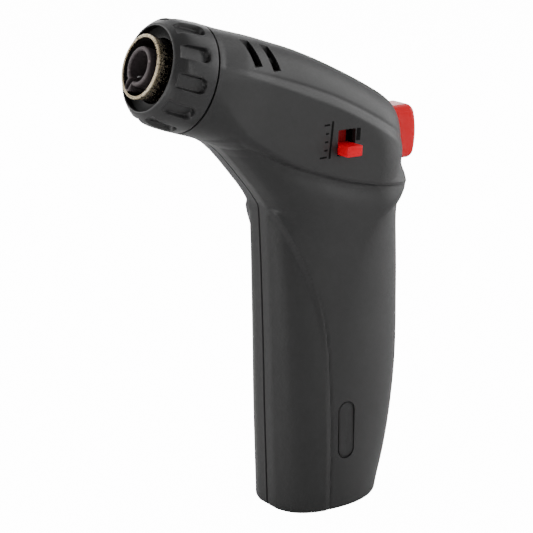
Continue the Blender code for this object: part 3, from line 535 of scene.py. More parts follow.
class Nodes:
    """A small helper for building a node material."""

    def __init__(self, name):
        self.material = bpy.data.materials.new(name)
        self.material.use_nodes = True
        self.tree = self.material.node_tree
        self.tree.nodes.clear()
        output = self.add("ShaderNodeOutputMaterial")
        self.bsdf = self.add("ShaderNodeBsdfPrincipled")
        self.tree.links.new(self.bsdf.outputs[0], output.inputs[0])
        self.place = self.add("ShaderNodeTexCoord").outputs["Object"]

    def add(self, kind, **values):
        node = self.tree.nodes.new(kind)
        for key, value in values.items():
            setattr(node, key, value)
        return node

    def feed(self, slot, value):
        """Gives an input a number, a colour or a link."""
        if isinstance(value, (int, float)):
            slot.default_value = value
        elif isinstance(value, tuple):
            slot.default_value = (*value, 1.0)
        else:
            self.tree.links.new(value, slot)

    def noise(self, scale, detail, rough, distortion=0.0):
        node = self.add("ShaderNodeTexNoise")
        self.feed(node.inputs["Vector"], self.place)
        self.feed(node.inputs["Scale"], scale)
        self.feed(node.inputs["Detail"], detail)
        self.feed(node.inputs["Roughness"], rough)
        self.feed(node.inputs["Distortion"], distortion)
        return node.outputs[0]

    def voronoi(self, scale):
        node = self.add("ShaderNodeTexVoronoi")
        self.feed(node.inputs["Vector"], self.place)
        self.feed(node.inputs["Scale"], scale)
        return node.outputs["Distance"]

    def ramp(self, value, low, high):
        """A colour ramp between two (position, colour) stops."""
        node = self.add("ShaderNodeValToRGB")
        for element, (at, colour) in zip(node.color_ramp.elements, (low, high)):
            element.position = at
            element.color = (*colour, 1.0)
        self.feed(node.inputs[0], value)
        return node.outputs[0]

    def mask(self, value, low, high):
        """Black at low, white at high."""
        return self.ramp(value, (low, (0, 0, 0)), (high, (1, 1, 1)))

    def math(self, how, a, b, clamp=False):
        node = self.add("ShaderNodeMath", operation=how, use_clamp=clamp)
        self.feed(node.inputs[0], a)
        self.feed(node.inputs[1], b)
        return node.outputs[0]

    def mix(self, factor, a, b):
        node = self.add("ShaderNodeMix", data_type="RGBA")
        self.feed(node.inputs[0], factor)
        self.feed(node.inputs[6], a)
        self.feed(node.inputs[7], b)
        return node.outputs[2]

    def bump(self, height, strength, distance, normal=None):
        node = self.add("ShaderNodeBump")
        self.feed(node.inputs["Strength"], strength)
        self.feed(node.inputs["Distance"], distance)
        self.feed(node.inputs["Height"], height)
        if normal is not None:
            self.feed(node.inputs["Normal"], normal)
        return node.outputs[0]

    def map_range(self, value, low, high):
        """0 at low, 1 at high."""
        node = self.add("ShaderNodeMapRange", clamp=True)
        self.feed(node.inputs["From Min"], low)
        self.feed(node.inputs["From Max"], high)
        self.feed(node.inputs["Value"], value)
        return node.outputs[0]

    def edges(self, low, high):
        """1 along sharp outward edges, for wear."""
        pointiness = self.add("ShaderNodeNewGeometry").outputs["Pointiness"]
        return self.map_range(pointiness, low, high)

    def set(self, **values):
        for key, value in values.items():
            self.feed(self.bsdf.inputs[key.replace("_", " ")], value)
        return self.material


def moulded(name, dark, light, rough=0.5, grain=0.5, wear=0.35, **extra):
    """Matt moulded plastic: a fine eroded texture, faint mottling and paler, smoother edges."""
    n = Nodes(name)
    mottle = n.noise(scale=45, detail=5, rough=0.6)
    fine = n.noise(scale=2600, detail=2, rough=0.6)
    speck = n.noise(scale=900, detail=3, rough=0.7)
    colour = n.ramp(mottle, (0.3, dark), (0.7, light))
    dust = n.mask(speck, 0.35, 0.8)
    colour = n.mix(n.math("MULTIPLY", dust, 0.10), colour, brighter(light, 2.2))
    worn = n.edges(0.52, 0.62)
    colour = n.mix(n.math("MULTIPLY", worn, wear), colour, brighter(light, 2.0))
    # roughness varies with the grain and mottling and drops on worn edges
    roughness = n.math("ADD", n.math("MULTIPLY", fine, 0.16), rough - 0.08)
    cloud = n.math("MULTIPLY", n.math("SUBTRACT", mottle, 0.5), 0.12)
    roughness = n.math("ADD", roughness, cloud)
    roughness = n.math("SUBTRACT", roughness, n.math("MULTIPLY", worn, 0.12), clamp=True)
    normal = n.bump(fine, strength=grain, distance=0.00006)
    normal = n.bump(speck, strength=grain * 0.5, distance=0.00008, normal=normal)
    return n.set(Base_Color=colour, Roughness=roughness, Normal=normal, IOR=1.5, **extra)


def glossy(name, dark, light, rough=0.2, wear=0.2, coat=0.0, scuffs=0.12, **extra):
    """Shiny moulded plastic with faint flow marks, dust and hairline scuffs."""
    n = Nodes(name)
    flow = n.noise(scale=60, detail=4, rough=0.5, distortion=0.8)
    scuff = n.noise(scale=500, detail=6, rough=0.75, distortion=2.5)
    colour = n.ramp(flow, (0.3, dark), (0.72, light))
    worn = n.edges(0.53, 0.64)
    colour = n.mix(n.math("MULTIPLY", worn, wear), colour, brighter(light, 1.4, lift=0.03))
    scuffed = n.math("MULTIPLY", n.mask(scuff, 0.45, 0.8), scuffs)
    roughness = n.math("ADD", rough - 0.05, scuffed)
    ripple = n.noise(scale=260, detail=2, rough=0.5)
    normal = n.bump(ripple, strength=0.05, distance=0.00005)
    return n.set(Base_Color=colour, Roughness=roughness, Normal=normal, IOR=1.5,
                 Coat_Weight=coat, Coat_Roughness=0.08, **extra)


def metal(name, dark, light, rough):
    """Metal with uneven tint, fine pitting and smudged roughness."""
    n = Nodes(name)
    tint = n.noise(scale=70, detail=5, rough=0.6, distortion=0.4)
    pit = n.voronoi(scale=1500)
    fine = n.noise(scale=1300, detail=4, rough=0.7)
    colour = n.ramp(tint, (0.3, dark), (0.7, light))
    smudge = n.math("MULTIPLY", n.noise(scale=240, detail=5, rough=0.7), 0.2)
    roughness = n.math("ADD", rough - 0.08, smudge, clamp=True)
    height = n.math("ADD", fine, n.mask(pit, 0.0, 0.35))
    normal = n.bump(height, strength=0.25, distance=0.00008)
    return n.set(Base_Color=colour, Metallic=1.0, Roughness=roughness, Normal=normal)


def plated():
    """Heat-tinted nickel plate: warm and pale, with dark specks of painted reflection that thicken
    into painted shade behind the lip.
    """
    n = Nodes("nickel_plate")
    tint = n.noise(scale=90, detail=4, rough=0.6, distortion=0.6)
    colour = n.ramp(tint, (0.3, (0.50, 0.40, 0.25)), (0.7, (0.90, 0.80, 0.60)))
    along = n.add("ShaderNodeVectorMath", operation="DOT_PRODUCT")
    n.feed(along.inputs[0], n.place)
    along.inputs[1].default_value = tuple(AXIS)
    # the painted dark specks thicken into painted shade between these distances in front of the
    # seam
    start = float(SEAM_POINT @ AXIS) / 1000
    back = n.map_range(along.outputs["Value"], start + 0.0163, start + 0.0136)
    grain = n.noise(scale=1150, detail=4, rough=0.7, distortion=1.2)
    speck = n.math("ADD", grain, n.math("MULTIPLY", back, 0.19))
    # dark specks: painted dark reflections, denser further back as painted shade
    colour = n.mix(n.mask(speck, 0.55, 0.60), colour, (0.020, 0.017, 0.015))
    lumps = n.noise(scale=620, detail=5, rough=0.75, distortion=0.3)
    smudge = n.math("MULTIPLY", n.noise(scale=300, detail=5, rough=0.7), 0.16)
    roughness = n.math("ADD", 0.20, smudge)
    normal = n.bump(lumps, strength=0.6, distance=0.00022)
    normal = n.bump(grain, strength=0.6, distance=0.00014, normal=normal)
    return n.set(Base_Color=colour, Metallic=0.84, Roughness=roughness, Normal=normal)


def fired():
    """Fired burner metal: taupe and dull, with a painted highlight along its rim."""
    n = Nodes("fired_metal")
    cloud = n.noise(scale=160, detail=5, rough=0.65)
    colour = n.ramp(cloud, (0.25, (0.050, 0.040, 0.042)), (0.75, (0.095, 0.078, 0.082)))
    # a painted highlight along sharp rims
    rim = n.edges(0.51, 0.60)
    colour = n.mix(n.math("MULTIPLY", rim, 0.6), colour, (0.30, 0.25, 0.25))
    smudge = n.math("MULTIPLY", n.noise(scale=700, detail=4, rough=0.6), 0.2)
    roughness = n.math("ADD", 0.42, smudge)
    fine = n.noise(scale=1400, detail=3, rough=0.6)
    normal = n.bump(fine, strength=0.3, distance=0.00006)
    return n.set(Base_Color=colour, Metallic=0.35, Roughness=roughness, Normal=normal)


CHARCOAL = moulded(
    "charcoal_plastic", dark=(0.0106, 0.0106, 0.0108), light=(0.0152, 0.0152, 0.0154),
    rough=0.44, Sheen_Weight=0.08, Sheen_Roughness=0.28)
COLLAR = moulded(
    "collar_plastic", dark=(0.0124, 0.0124, 0.0126), light=(0.0172, 0.0172, 0.0174),
    rough=0.33, grain=0.4)
WINDOW = moulded(
    "window_plastic", dark=(0.0105, 0.0105, 0.0108), light=(0.0145, 0.0145, 0.0148),
    rough=0.34, grain=0.08)
RED = glossy(
    "red_plastic", dark=(0.84, 0.0005, 0.014), light=(0.92, 0.001, 0.018),
    rough=0.26, wear=0.05, scuffs=0.03, Specular_IOR_Level=0.18)
BUTTON_RED = glossy(
    "button_red", dark=(0.82, 0.0006, 0.009), light=(0.88, 0.0012, 0.012),
    rough=0.20, wear=0.0, scuffs=0.03, Specular_IOR_Level=0.36)
# a darker copy of the red plastic: painted shade on the knob's shoe, seen through the slot
SHADED_RED = glossy(
    "red_plastic_painted_shade", dark=(0.26, 0.004, 0.008), light=(0.32, 0.006, 0.010),
    rough=0.45, wear=0.0, Specular_IOR_Level=0.1)
BLACK = glossy(
    "black_gloss", dark=(0.002, 0.002, 0.0025), light=(0.005, 0.0045, 0.0045),
    rough=0.20, wear=0.05, Specular_IOR_Level=0.12)
DISH = moulded(
    "recess_plastic", dark=(0.0030, 0.0030, 0.0032), light=(0.0055, 0.0053, 0.0053),
    rough=0.42, grain=0.25, wear=0.1, Specular_IOR_Level=0.12)
INK = moulded(
    "black_marking", dark=(0.001, 0.001, 0.001), light=(0.003, 0.003, 0.003),
    rough=0.7, grain=0.3, wear=0.0, Specular_IOR_Level=0.1)
STEEL = metal("steel", dark=(0.42, 0.42, 0.43), light=(0.62, 0.62, 0.62), rough=0.3)
BRASS = metal("brass", dark=(0.30, 0.20, 0.08), light=(0.46, 0.33, 0.15), rough=0.38)
CERAMIC = glossy(
    "ceramic", dark=(0.78, 0.76, 0.70), light=(0.88, 0.86, 0.81), rough=0.35, wear=0.0, coat=0.2)
TANK = glossy(
    "tank_plastic", dark=(0.30, 0.32, 0.33), light=(0.40, 0.42, 0.43),
    rough=0.35, wear=0.1, coat=0.1)
RUBBER = moulded(
    "rubber", dark=(0.012, 0.012, 0.012), light=(0.022, 0.022, 0.022),
    rough=0.75, grain=0.6, wear=0.1)
NICKEL = plated()
SOOT = moulded(
    "soot", dark=(0.004, 0.0034, 0.003), light=(0.011, 0.009, 0.008),
    rough=0.6, grain=0.4, wear=0.0)
FIRED = fired()

SLOT_LOOK = {
    "shell_plastic": CHARCOAL, "collar_plastic": COLLAR, "window_plastic": WINDOW,
    "red_plastic": RED, "black_plastic": BLACK, "nickel": NICKEL, "burnt_steel": FIRED,
    "steel": STEEL, "brass": BRASS, "ceramic": CERAMIC, "igniter_plastic": CERAMIC,
    "tank_plastic": TANK, "rubber": RUBBER,
}
for part in frame["record"]["subparts"]:
    node = frame["nodes"][part["node"]]
    node.data.materials.clear()
    backing = part["node"] == "slot_backing"
    node.data.materials.append(CHARCOAL if backing else SLOT_LOOK[part["material_slot"]])


# ------------------------------------------------------------------ shell halves
RINGS, COLS = 330, 118  # sections down the body, and points across each flank
SEAM_HALF, SEAM_CHAMFER = 0.22, 0.5
SEAM_EDGE = SEAM_HALF + 0.26  # y where the chamfer meets the outside
SKIN = {}  # the uncut surface of each side, for laying things on it


def zipper(a, b):
    """Triangles between two lines of vertices whose ends meet the same rims."""
    out, i, j = [], 0, 0
    while i < len(a) - 1 or j < len(b) - 1:
        next_a = (i + 1) / (len(a) - 1) if i < len(a) - 1 else 2
        next_b = (j + 1) / (len(b) - 1) if j < len(b) - 1 else 2
        if next_a <= next_b:
            out.append((a[i], a[i + 1], b[j]))
            i += 1
        else:
            out.append((a[i], b[j + 1], b[j]))
            j += 1
    return out


def grid_faces(g):
    return [(g[i, j], g[i, j + 1], g[i + 1, j + 1], g[i + 1, j])
            for i in range(g.shape[0] - 1) for j in range(g.shape[1] - 1)]


def skin_rings(u, inset, level, side, q, strip):
    """Rings of points: a chamfer, the front strip, the flank, the back and another chamfer.

    Where level is a number, the ring is moved to that height.
    """
    start = (0.008 * (1 - smooth(u, 0, 5)))[:, None]
    x, z, y = sections(u, start + (1 - start) * q[None, :], inset)
    front, back, _, way = chords(u)
    front = front + way * inset[:, None]
    back = back - way * inset[:, None]
    first = np.stack([x[:, 0], z[:, 0]], axis=1)
    first_y = np.maximum(y[:, 0], 1.0)

    def column(place, height):
        height = np.broadcast_to(height, u.shape)
        return np.stack([place[:, 0], height, place[:, 1]], axis=1)[:, None, :]

    parts = [column(front + way * SEAM_CHAMFER, SEAM_HALF)]
    for p in strip:
        parts.append(column(front + (first - front) * p * p, SEAM_EDGE * (1 - p) + first_y * p))
    body = np.stack([x, np.maximum(y, SEAM_EDGE), z], axis=2)
    body[:, 0, 1] = first_y
    parts.append(body[:, :-1])
    parts.append(column(back, SEAM_EDGE))
    parts.append(column(back - way * SEAM_CHAMFER, SEAM_HALF))
    points = np.concatenate(parts, axis=1)
    shift = np.where(np.isnan(level), 0.0, level - points[:, :, 2].mean(axis=1))
    points[:, :, 2] += shift[:, None]
    points[:, :, 1] *= side
    return points


def hollow_half(name, side):
    """One half of the body before anything is cut from it."""
    body_u = spread(RINGS, lambda q: 1 + 0.6 * np.exp(-((q * 28 - 15) / 2.5) ** 2)) * 27.95
    turn = np.linspace(0, math.pi / 2, 9)
    level = BASE_FILLET - BASE_FILLET * np.sin(turn)
    skin = skin_rings(
        u=np.concatenate([body_u, BOTTOM_ROW + (BOTTOM_Z - level) / BOTTOM_Z]),
        inset=np.concatenate([np.zeros(RINGS), BASE_FILLET * (1 - np.cos(turn))]),
        level=np.concatenate([np.full(RINGS, np.nan), level]),
        side=side,
        q=np.append(spread(COLS, lambda q: 1 + 3.0 * np.exp(-q / 0.05)
                           + 1.1 * np.sqrt(0.05 / (1 - q + 0.0008)))[:-1], [1 - 0.0008, 1.0]),
        strip=(0.0, 0.3, 0.65))
    # the lining is coarser, and turns inwards at the base as a lip
    lining_u = body_u[::6]
    count = len(lining_u)
    lining = skin_rings(
        u=np.concatenate([lining_u, [27.98, 28.25, 28.5, 28.6, 28.7, 29.0]]),
        inset=np.concatenate([np.full(count + 3, WALL), [3.5, BASE_LIP, BASE_LIP]]),
        level=np.concatenate([np.full(count + 1, np.nan), [3.0, WALL, WALL, WALL, 0.0]]),
        side=side,
        q=spread(26, lambda q: 1 + 2.0 * np.exp(-q / 0.06)
                 + 0.8 * np.sqrt(0.05 / (1 - q + 0.003))),
        strip=(0.0, 0.5))
    verts = np.concatenate([skin.reshape(-1, 3), lining.reshape(-1, 3)])
    total = skin.shape[0] * skin.shape[1]
    outer = np.arange(total).reshape(skin.shape[:2])
    inner = np.arange(total, len(verts)).reshape(lining.shape[:2])
    faces = grid_faces(outer) + grid_faces(inner)
    faces += zipper(outer[:, 0], inner[:, 0]) + zipper(outer[:, -1], inner[:, -1])
    faces += zipper(outer[0], inner[0]) + zipper(outer[-1], inner[-1])
    return make(name, verts, faces, [CHARCOAL], None)


def on_flank(x, z, lift, side=LEFT):
    """A point this far outside the flank's surface."""
    start, way = Vector((x / 1000, side * 0.08, z / 1000)), Vector((0, -side, 0))
    hit = SKIN[side].ray_cast(start, way)[0]
    return x, side * (abs(hit.y) * 1000 + lift), z


def screw_post(x, z, side):
    """A post from near the seam to just under the flank's surface."""
    n, depth = 40, 0.9
    rim = []
    for k in range(n):
        t = 2 * math.pi * k / n
        rim.append(on_flank(x + 3.7 * math.cos(t), z + 3.7 * math.sin(t), -depth, side))
    foot = [(px, side * 0.3, pz) for px, _, pz in rim]
    faces = [tuple(range(n))] + bands([range(n), range(n, 2 * n)])
    faces += [(n + k, n + (k + 1) % n, 2 * n) for k in range(n)]
    return make("post", foot + rim + [on_flank(x, z, -depth, side)], faces)


def window_chamfer():
    """Flares the window's opening towards the outside."""
    x0, x1, z0, z1 = WINDOW_BOX
    rows = []
    for grow, y in ((0.75, -16.2), (0.0, -14.75)):
        outline = rounded(x0 - grow, x1 + grow, z0 - grow, z1 + grow, WINDOW_CORNER + grow, 14)
        rows.append([(x, y, z) for x, z in outline])
    return lofted("cut", rows, caps_first=True)


def shell_cutters(side):
    # the button's opening, the slots, the switch and window openings, and the screw holes
    cutters = [block("cut", (18, 42), (-6.4, 6.4), (111.1, 129.6), corner=2.7, steps=8)]
    for x, z in VENTS:
        outline = [(x - 0.1, z - 1.5), (x + 2.9, z - 1.5), (x + 1.1, z + 12), (x - 1.9, z + 12)]
        cutters.append(plate("cut", outline, *sorted((side * 7.6, side * 22))))
    if side == LEFT:
        cutters.append(plate("cut", lean(rounded(-5.0, 1.6, 118.2, 126.5, 0.4, 4)), -20, -9))
        cutters.append(plate("cut", rounded(*WINDOW_BOX, WINDOW_CORNER, 14), -20, -9))
        cutters.append(window_chamfer())
    if side == RIGHT:
        bore, segments = [(-1, 1.25), (7.2, 1.25), (7.2, 2.55), (24, 2.55)], 40
    else:
        bore, segments = [(1, 1.05), (-8.0, 1.05), (-8.6, 0)], 24
    for x, z in SCREWS:
        cutters.append(turned("cut", bore, at=(x, 0, z), axis=(0, 1, 0), segments=segments))
    return cutters


def shell(name, side):
    obj = hollow_half(name, side)
    points = [tuple(v.co) for v in obj.data.vertices]
    SKIN[side] = BVHTree.FromPolygons(points, [tuple(f.vertices) for f in obj.data.polygons])
    posts = [screw_post(x, z, side) for x, z in SCREWS]
    boolean(obj, merged("posts", posts), "UNION")
    boolean(obj, merged("cutters", shell_cutters(side)))
    shade(obj, 32)
    return obj


piece(shell("body_left", LEFT), "housing", "left_shell")
piece(shell("body_right", RIGHT), "housing", "right_shell")

# ------------------------------------------------------------------ collar
# distance in front of the seam, radius: over the shoulder and the lip
COLLAR_OUTER = np.array([
    (0.35, 16.5), (0.42, 16.72), (0.62, 16.92), (0.95, 17.0), (4.0, 17.0), (8.0, 16.80),
    (10.4, 16.50), (11.8, 16.0), (13.0, 15.15), (13.8, 14.45), (14.3, 13.95), (14.5, 13.45),
    (14.42, 13.12), (14.1, 13.0),
])
# and back through the bore
COLLAR_BORE = [
    (13.4, 13.0), (12.7, 13.0), (12.7, 13.8), (12.7, 14.5), (8.0, 14.5), (3.3, 14.5),
    (3.3, 15.3), (1.3, 15.3), (1.3, 14.5), (0.35, 14.5), (0.35, 15.4),
]
# where points fall across half a scoop's pitch, as distances round the collar
SCOOP_HALF_PITCH = 4.85
SCOOP_POINTS = np.array([
    -4.85, -4.2, -3.6, -3.15, -2.9, -2.72, -2.58, -2.48, -2.36, -2.24, -2.12, -2.0, -1.88, -1.7,
    -1.4, -1.0, -0.5, 0.0,
])


def scooped(distance, radius, turn):
    """Radius with the finger scoops pressed in: flat floors, rounded rear ends, firm walls."""
    half, rear, corner = 2.5, 3.4, 2.1
    pitch = 2 * math.pi / SCOOPS
    across = ((turn - SCOOP_PHASE + pitch / 2) % pitch - pitch / 2) * 16.5
    # how far inside the scoop's outline each point is
    to_corner = rear + corner - distance
    if to_corner > 0:
        beside = np.maximum(np.abs(across) - (half - corner), 0)
        inside = corner - np.sqrt(beside ** 2 + to_corner ** 2)
    else:
        inside = half - np.abs(across)
    inside = np.minimum(inside, max(distance - rear, -1))
    floor = (15.25 - 0.035 * (distance - 4) + 0.18 * (across / half) ** 2
             - 0.10 * np.exp(-((distance - 4.8) / 1.3) ** 2))
    press = smooth(inside, 0.0, 0.5)
    # the surface dips slightly beside the walls
    soft = 0.05 * np.exp(-(np.maximum(-inside, 0) / 0.35) ** 2) * smooth(radius, 15.8, 16.3)
    pressed = radius - (radius - floor) * press - soft * (press < 0.02) * (distance < 13)
    return np.where(radius > floor, pressed, radius)


def collar_ring():
    per_scoop = np.concatenate([SCOOP_POINTS, -SCOOP_POINTS[-2:0:-1]])
    per_scoop = per_scoop / SCOOP_HALF_PITCH * (math.pi / SCOOPS)
    turn = np.concatenate([SCOOP_PHASE + 2 * math.pi * k / SCOOPS + per_scoop
                           for k in range(SCOOPS)])
    samples = np.concatenate([np.linspace(0, 3, 9), np.linspace(3, 13, 60)[1:]])
    smooth_outer = through(COLLAR_OUTER, samples)
    outer = list(map(tuple, smooth_outer))
    # finer rows where the scoops' rear ends are
    for s in np.linspace(3.2, 6.4, 15):
        if np.min(np.abs(smooth_outer[:40, 0] - s)) > 0.06:
            at = next(i for i in range(len(outer)) if outer[i][0] > s)
            (low_s, low_r), (high_s, high_r) = outer[at - 1], outer[at]
            fraction = (s - low_s) / (high_s - low_s)
            outer.insert(at, (s, low_r + (high_r - low_r) * fraction))
    rows = []
    for distance, radius in outer:
        radii = np.full(len(turn), radius)
        if distance > 2.0 and radius > 15.2:
            radii = scooped(distance, radii, turn)
        rows.append(ring_points(distance, radii, turn))
    rows += [ring_points(distance, radius, turn) for distance, radius in COLLAR_BORE]
    verts, rings = stacked(rows)
    obj = make("collar_ring", verts, turned_faces(rings), [COLLAR, BLACK], 40)
    for face in obj.data.polygons:
        distance, radius = barrel_place(face)
        face.material_index = int(radius < 0.01325 and distance > 0.0125)
    return obj


piece(collar_ring(), "collar", "control_collar")

# ------------------------------------------------------------------ nozzle
# distance in front of the seam, radius
DISH_PROFILE = [
    (10.95, 10.15), (10.95, 13.5), (11.6, 13.85), (12.3, 14.15), (12.52, 14.15), (12.56, 13.95),
    (12.5, 13.65), (12.35, 13.3), (12.15, 12.9), (11.9, 12.4), (11.65, 11.8), (11.45, 11.2),
    (11.32, 10.6), (11.28, 10.15),
]
TUBE_PROFILE = [
    (-9.0, 9.6), (0.0, 9.6), (9.0, 9.6), (12.0, 9.6), (14.0, 9.6), (14.8, 9.62), (15.4, 9.66),
    (15.9, 9.74), (16.3, 9.84), (16.6, 9.92), *arc((17.0, 9.62), 0.34, 92, -20, 12),
    (17.18, 9.42), (17.14, 9.36), (17.18, 9.30), *arc((17.16, 9.12), 0.17, 60, -110, 8),
    (16.8, 8.98), (16.4, 9.02), (16.0, 9.06), (12.0, 9.1), (5.0, 9.1), (-9.0, 9.1),
]


def outer_tube():
    tube = turned("outer_tube", TUBE_PROFILE, [NICKEL, SOOT], segments=192, closed=True)
    for face in tube.data.polygons:
        distance, radius = barrel_place(face)
        face.material_index = int(radius < 0.00925 and distance < 0.0169)
    return tube


def keyhole_burner():
    """A round burner with a slot and a small round lobe on one side."""
    lobe_turn, lobe_at = math.radians(65), 7.0
    lobe_r, hole_r, slot_half = 1.72, 1.06, 0.92
    outer_r, inner_r, bore_r = 6.1, 4.7, 4.5
    degrees = np.concatenate([np.linspace(-30, -17, 14), np.linspace(-16.5, 16.5, 67),
                              np.linspace(17, 30, 14), np.linspace(30, 330, 121)[1:-1]])
    d = np.radians(degrees)
    d = np.where(d > math.pi, d - 2 * math.pi, d)
    ahead, aside = lobe_at * np.cos(d), np.abs(lobe_at * np.sin(d))

    def far_side(radius):
        return ahead + np.sqrt(np.maximum(radius ** 2 - (lobe_at * np.sin(d)) ** 2, 0))

    lobe = np.where(aside < lobe_r, far_side(lobe_r), 0)
    lobe = np.where(np.cos(d) > 0.8, lobe, 0)
    outer = soft_max(np.full(len(d), outer_r), lobe, 0.5)
    slot = slot_half / np.maximum(np.abs(np.sin(d)), 1e-6)
    reach = np.where(aside < hole_r, far_side(hole_r), ahead)
    notch = soft_max(np.full(len(d), inner_r), np.minimum(np.maximum(slot, 0), reach), 0.35)
    inner = np.where(np.cos(d) > 0.9, notch, inner_r)
    inner = np.minimum(inner, outer - 0.42)
    wall, middle = (outer - inner) / 2, (outer + inner) / 2
    # distance in front of the seam, radius: a rear flange, the outside, the rim, the inside
    rows = [(-14.0, 5.0), (-10.6, 5.0), (-9.9, 8.2), (-9.2, 8.2), (-9.1, 6.5)]
    rows += [(distance, outer) for distance in (-9.0, 0.0, 8.0, 12.0, 14.5, 16.4)]
    front, rim_depth = 17.95, 0.75
    for k in range(13):
        phi = math.pi * k / 12
        distance = front - rim_depth * (1 - math.sin(phi) ** 0.8)
        rows.append((distance, middle + wall * math.cos(phi)))
    rows += [(distance, inner) for distance in (16.4, 14.5, 12.0)]
    rows.append((8.0, np.minimum(inner, 8.0)))
    rows += [(7.6, bore_r), (3.0, bore_r), (-8.4, bore_r), (-9.6, 4.3), (-14.0, 4.3)]
    verts, rings = stacked([ring_points(s, r, d + lobe_turn) for s, r in rows])
    return make("burner_keyhole", verts, turned_faces(rings), [FIRED], 40)


def igniter_wire():
    """A wire up the barrel's axis that steps sideways near the front."""
    straight = [on_barrel(s) for s in np.linspace(-5.0, 7.0, 5)]
    bend = bezier(on_barrel(8.0), on_barrel(9.5), on_barrel(9.6, 3.3, 62),
                  on_barrel(12.0, 3.3, 62), 10)
    tip = [on_barrel(13.5, 3.3, 62), on_barrel(15.0, 3.35, 61), on_barrel(15.6, 3.6, 60),
           on_barrel(15.9, 3.9, 60)]
    points = np.concatenate([straight, bend, tip])
    radii = [0.36] * (len(points) - 1) + [0.26]
    wire = sweep("igniter_wire", points, radii, [FIRED, STEEL], segments=12)
    for face in wire.data.polygons:
        face.material_index = int(barrel_place(face)[0] > 0.0146)
    return wire


piece(turned("recess_dish", DISH_PROFILE, [DISH], segments=128, closed=True),
      "housing", "nozzle_insulator")
piece(outer_tube(), "housing", "flame_tube")
piece(keyhole_burner(), "housing", "burner_tube")
piece(igniter_wire(), "housing", "electrode")


# ------------------------------------------------------------------ trigger button
def thumb_button():
    half_width, low, high = 6.0, 111.5, 129.2
    middle = 0.5 * (low + high)
    edge = 1.5  # rounding of the pressed face's rim

    def outline(inset, corner=2.6):
        points = rounded(-half_width + inset, half_width - inset, low + inset, high - inset,
                         max(corner - inset, 0.25), 8)
        return divided(points, edges=(8, 17, 26, 35), steps=8)

    def row(x, points):
        return np.column_stack([np.broadcast_to(x, len(points)), points])

    def back(points):
        y, z = points[:, 0], points[:, 1]
        return 34.3 - 1.35 * ((z - middle) / 8.5) ** 2 - 0.35 * (y / 6.0) ** 2

    rows = [row(x, outline(0)) for x in (21.3, 23.0, 26.0, 29.0, 31.0)]
    for k in range(9):
        phi = math.pi / 2 * k / 8
        points = outline(edge * (1 - math.cos(phi)))
        rows.append(row(back(points) - edge * (1 - math.sin(phi)), points))
    for inset in (2.1, 2.8, 3.6, 4.4, 5.2, 5.8):
        points = outline(inset, corner=3.0)
        rows.append(row(back(points), points))
    obj = lofted("thumb_button", rows, [BUTTON_RED], None)
    # a flange inside the shell, and a foot forward of it
    flange = block("join", (21.2, 23.2), (-7.5, 7.5), (109.8, 126.8), corner=2.0)
    boolean(obj, flange, "UNION")
    boolean(obj, block("join", (16.4, 24.0), (-2.6, 2.6), (110.4, 113.2)), "UNION")
    shade(obj, 40)
    return obj


piece(thumb_button(), "trigger", "trigger_button")


# ------------------------------------------------------------------ switch, marks and window
def switch_knob():
    """A knob on a wider shoe that stays inside the left flank."""
    mats = [RED, SHADED_RED]
    outline = lean([(-4.7, 118.7), (0.9, 118.7), (0.9, 122.1), (-4.7, 122.1)])
    knob = plate("switch_knob", outline, -21.5, -13.0, mats)
    bevel(knob, width=0.38, segments=4)
    shoe = lean([(-7.4, 115.2), (3.0, 115.2), (3.0, 121.2), (0.1, 121.2), (0.1, 126.8),
                 (-2.2, 129.0), (-7.4, 129.0)])
    boolean(knob, plate("join", shoe, -13.2, -12.3, mats), "UNION")
    # faces inside the flank take the darker red as painted shade
    for face in knob.data.polygons:
        face.material_index = int(face.center.y > -0.0134)
    shade(knob)
    return knob


piece(switch_knob(), "lock", "lock_slider")


def inlay(name, path, width):
    """A thin strip laid into the left flank along a line of (x, z) points."""
    proud, deep, crown = 0.03, 0.3, 0.02
    path = np.asarray(path, float)
    lengths = np.linalg.norm(np.diff(path, axis=0), axis=1)
    total = np.concatenate([[0], np.cumsum(lengths)])
    at = np.linspace(0, total[-1], max(2, int(total[-1] / 0.8) + 2))
    line = np.column_stack([np.interp(at, total, path[:, 0]), np.interp(at, total, path[:, 1])])
    way = np.gradient(line, axis=0)
    way /= np.linalg.norm(way, axis=1)[:, None]
    across = np.column_stack([-way[:, 1], way[:, 0]])
    rows = []
    for centre, aside in zip(line, across):
        one, other = centre + aside * width / 2, centre - aside * width / 2
        rows.append([on_flank(*one, proud), on_flank(*centre, proud + crown),
                     on_flank(*other, proud), on_flank(*other, -deep), on_flank(*one, -deep)])
    obj = lofted(name, rows, [INK], 50)
    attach(obj, "housing")


LINE_TOP = (-6.75, 129.6)
inlay("switch_line", [LINE_TOP, (-8.15, 117.9)], width=0.72)
inlay("switch_bar", [(3.0, 126.5), (2.7, 122.6)], width=1.5)
# z and length of each tick in front of the line
TICKS = ((128.6, 2.0), (125.9, 1.2), (123.3, 1.2), (120.7, 1.2), (118.5, 2.6))
for k, (z, length) in enumerate(TICKS):
    x = LINE_TOP[0] + (z - LINE_TOP[1]) * 0.12 - 1.1
    inlay(f"switch_tick_{k + 1}", [(x - length, z - 0.1), (x, z)], width=0.55)


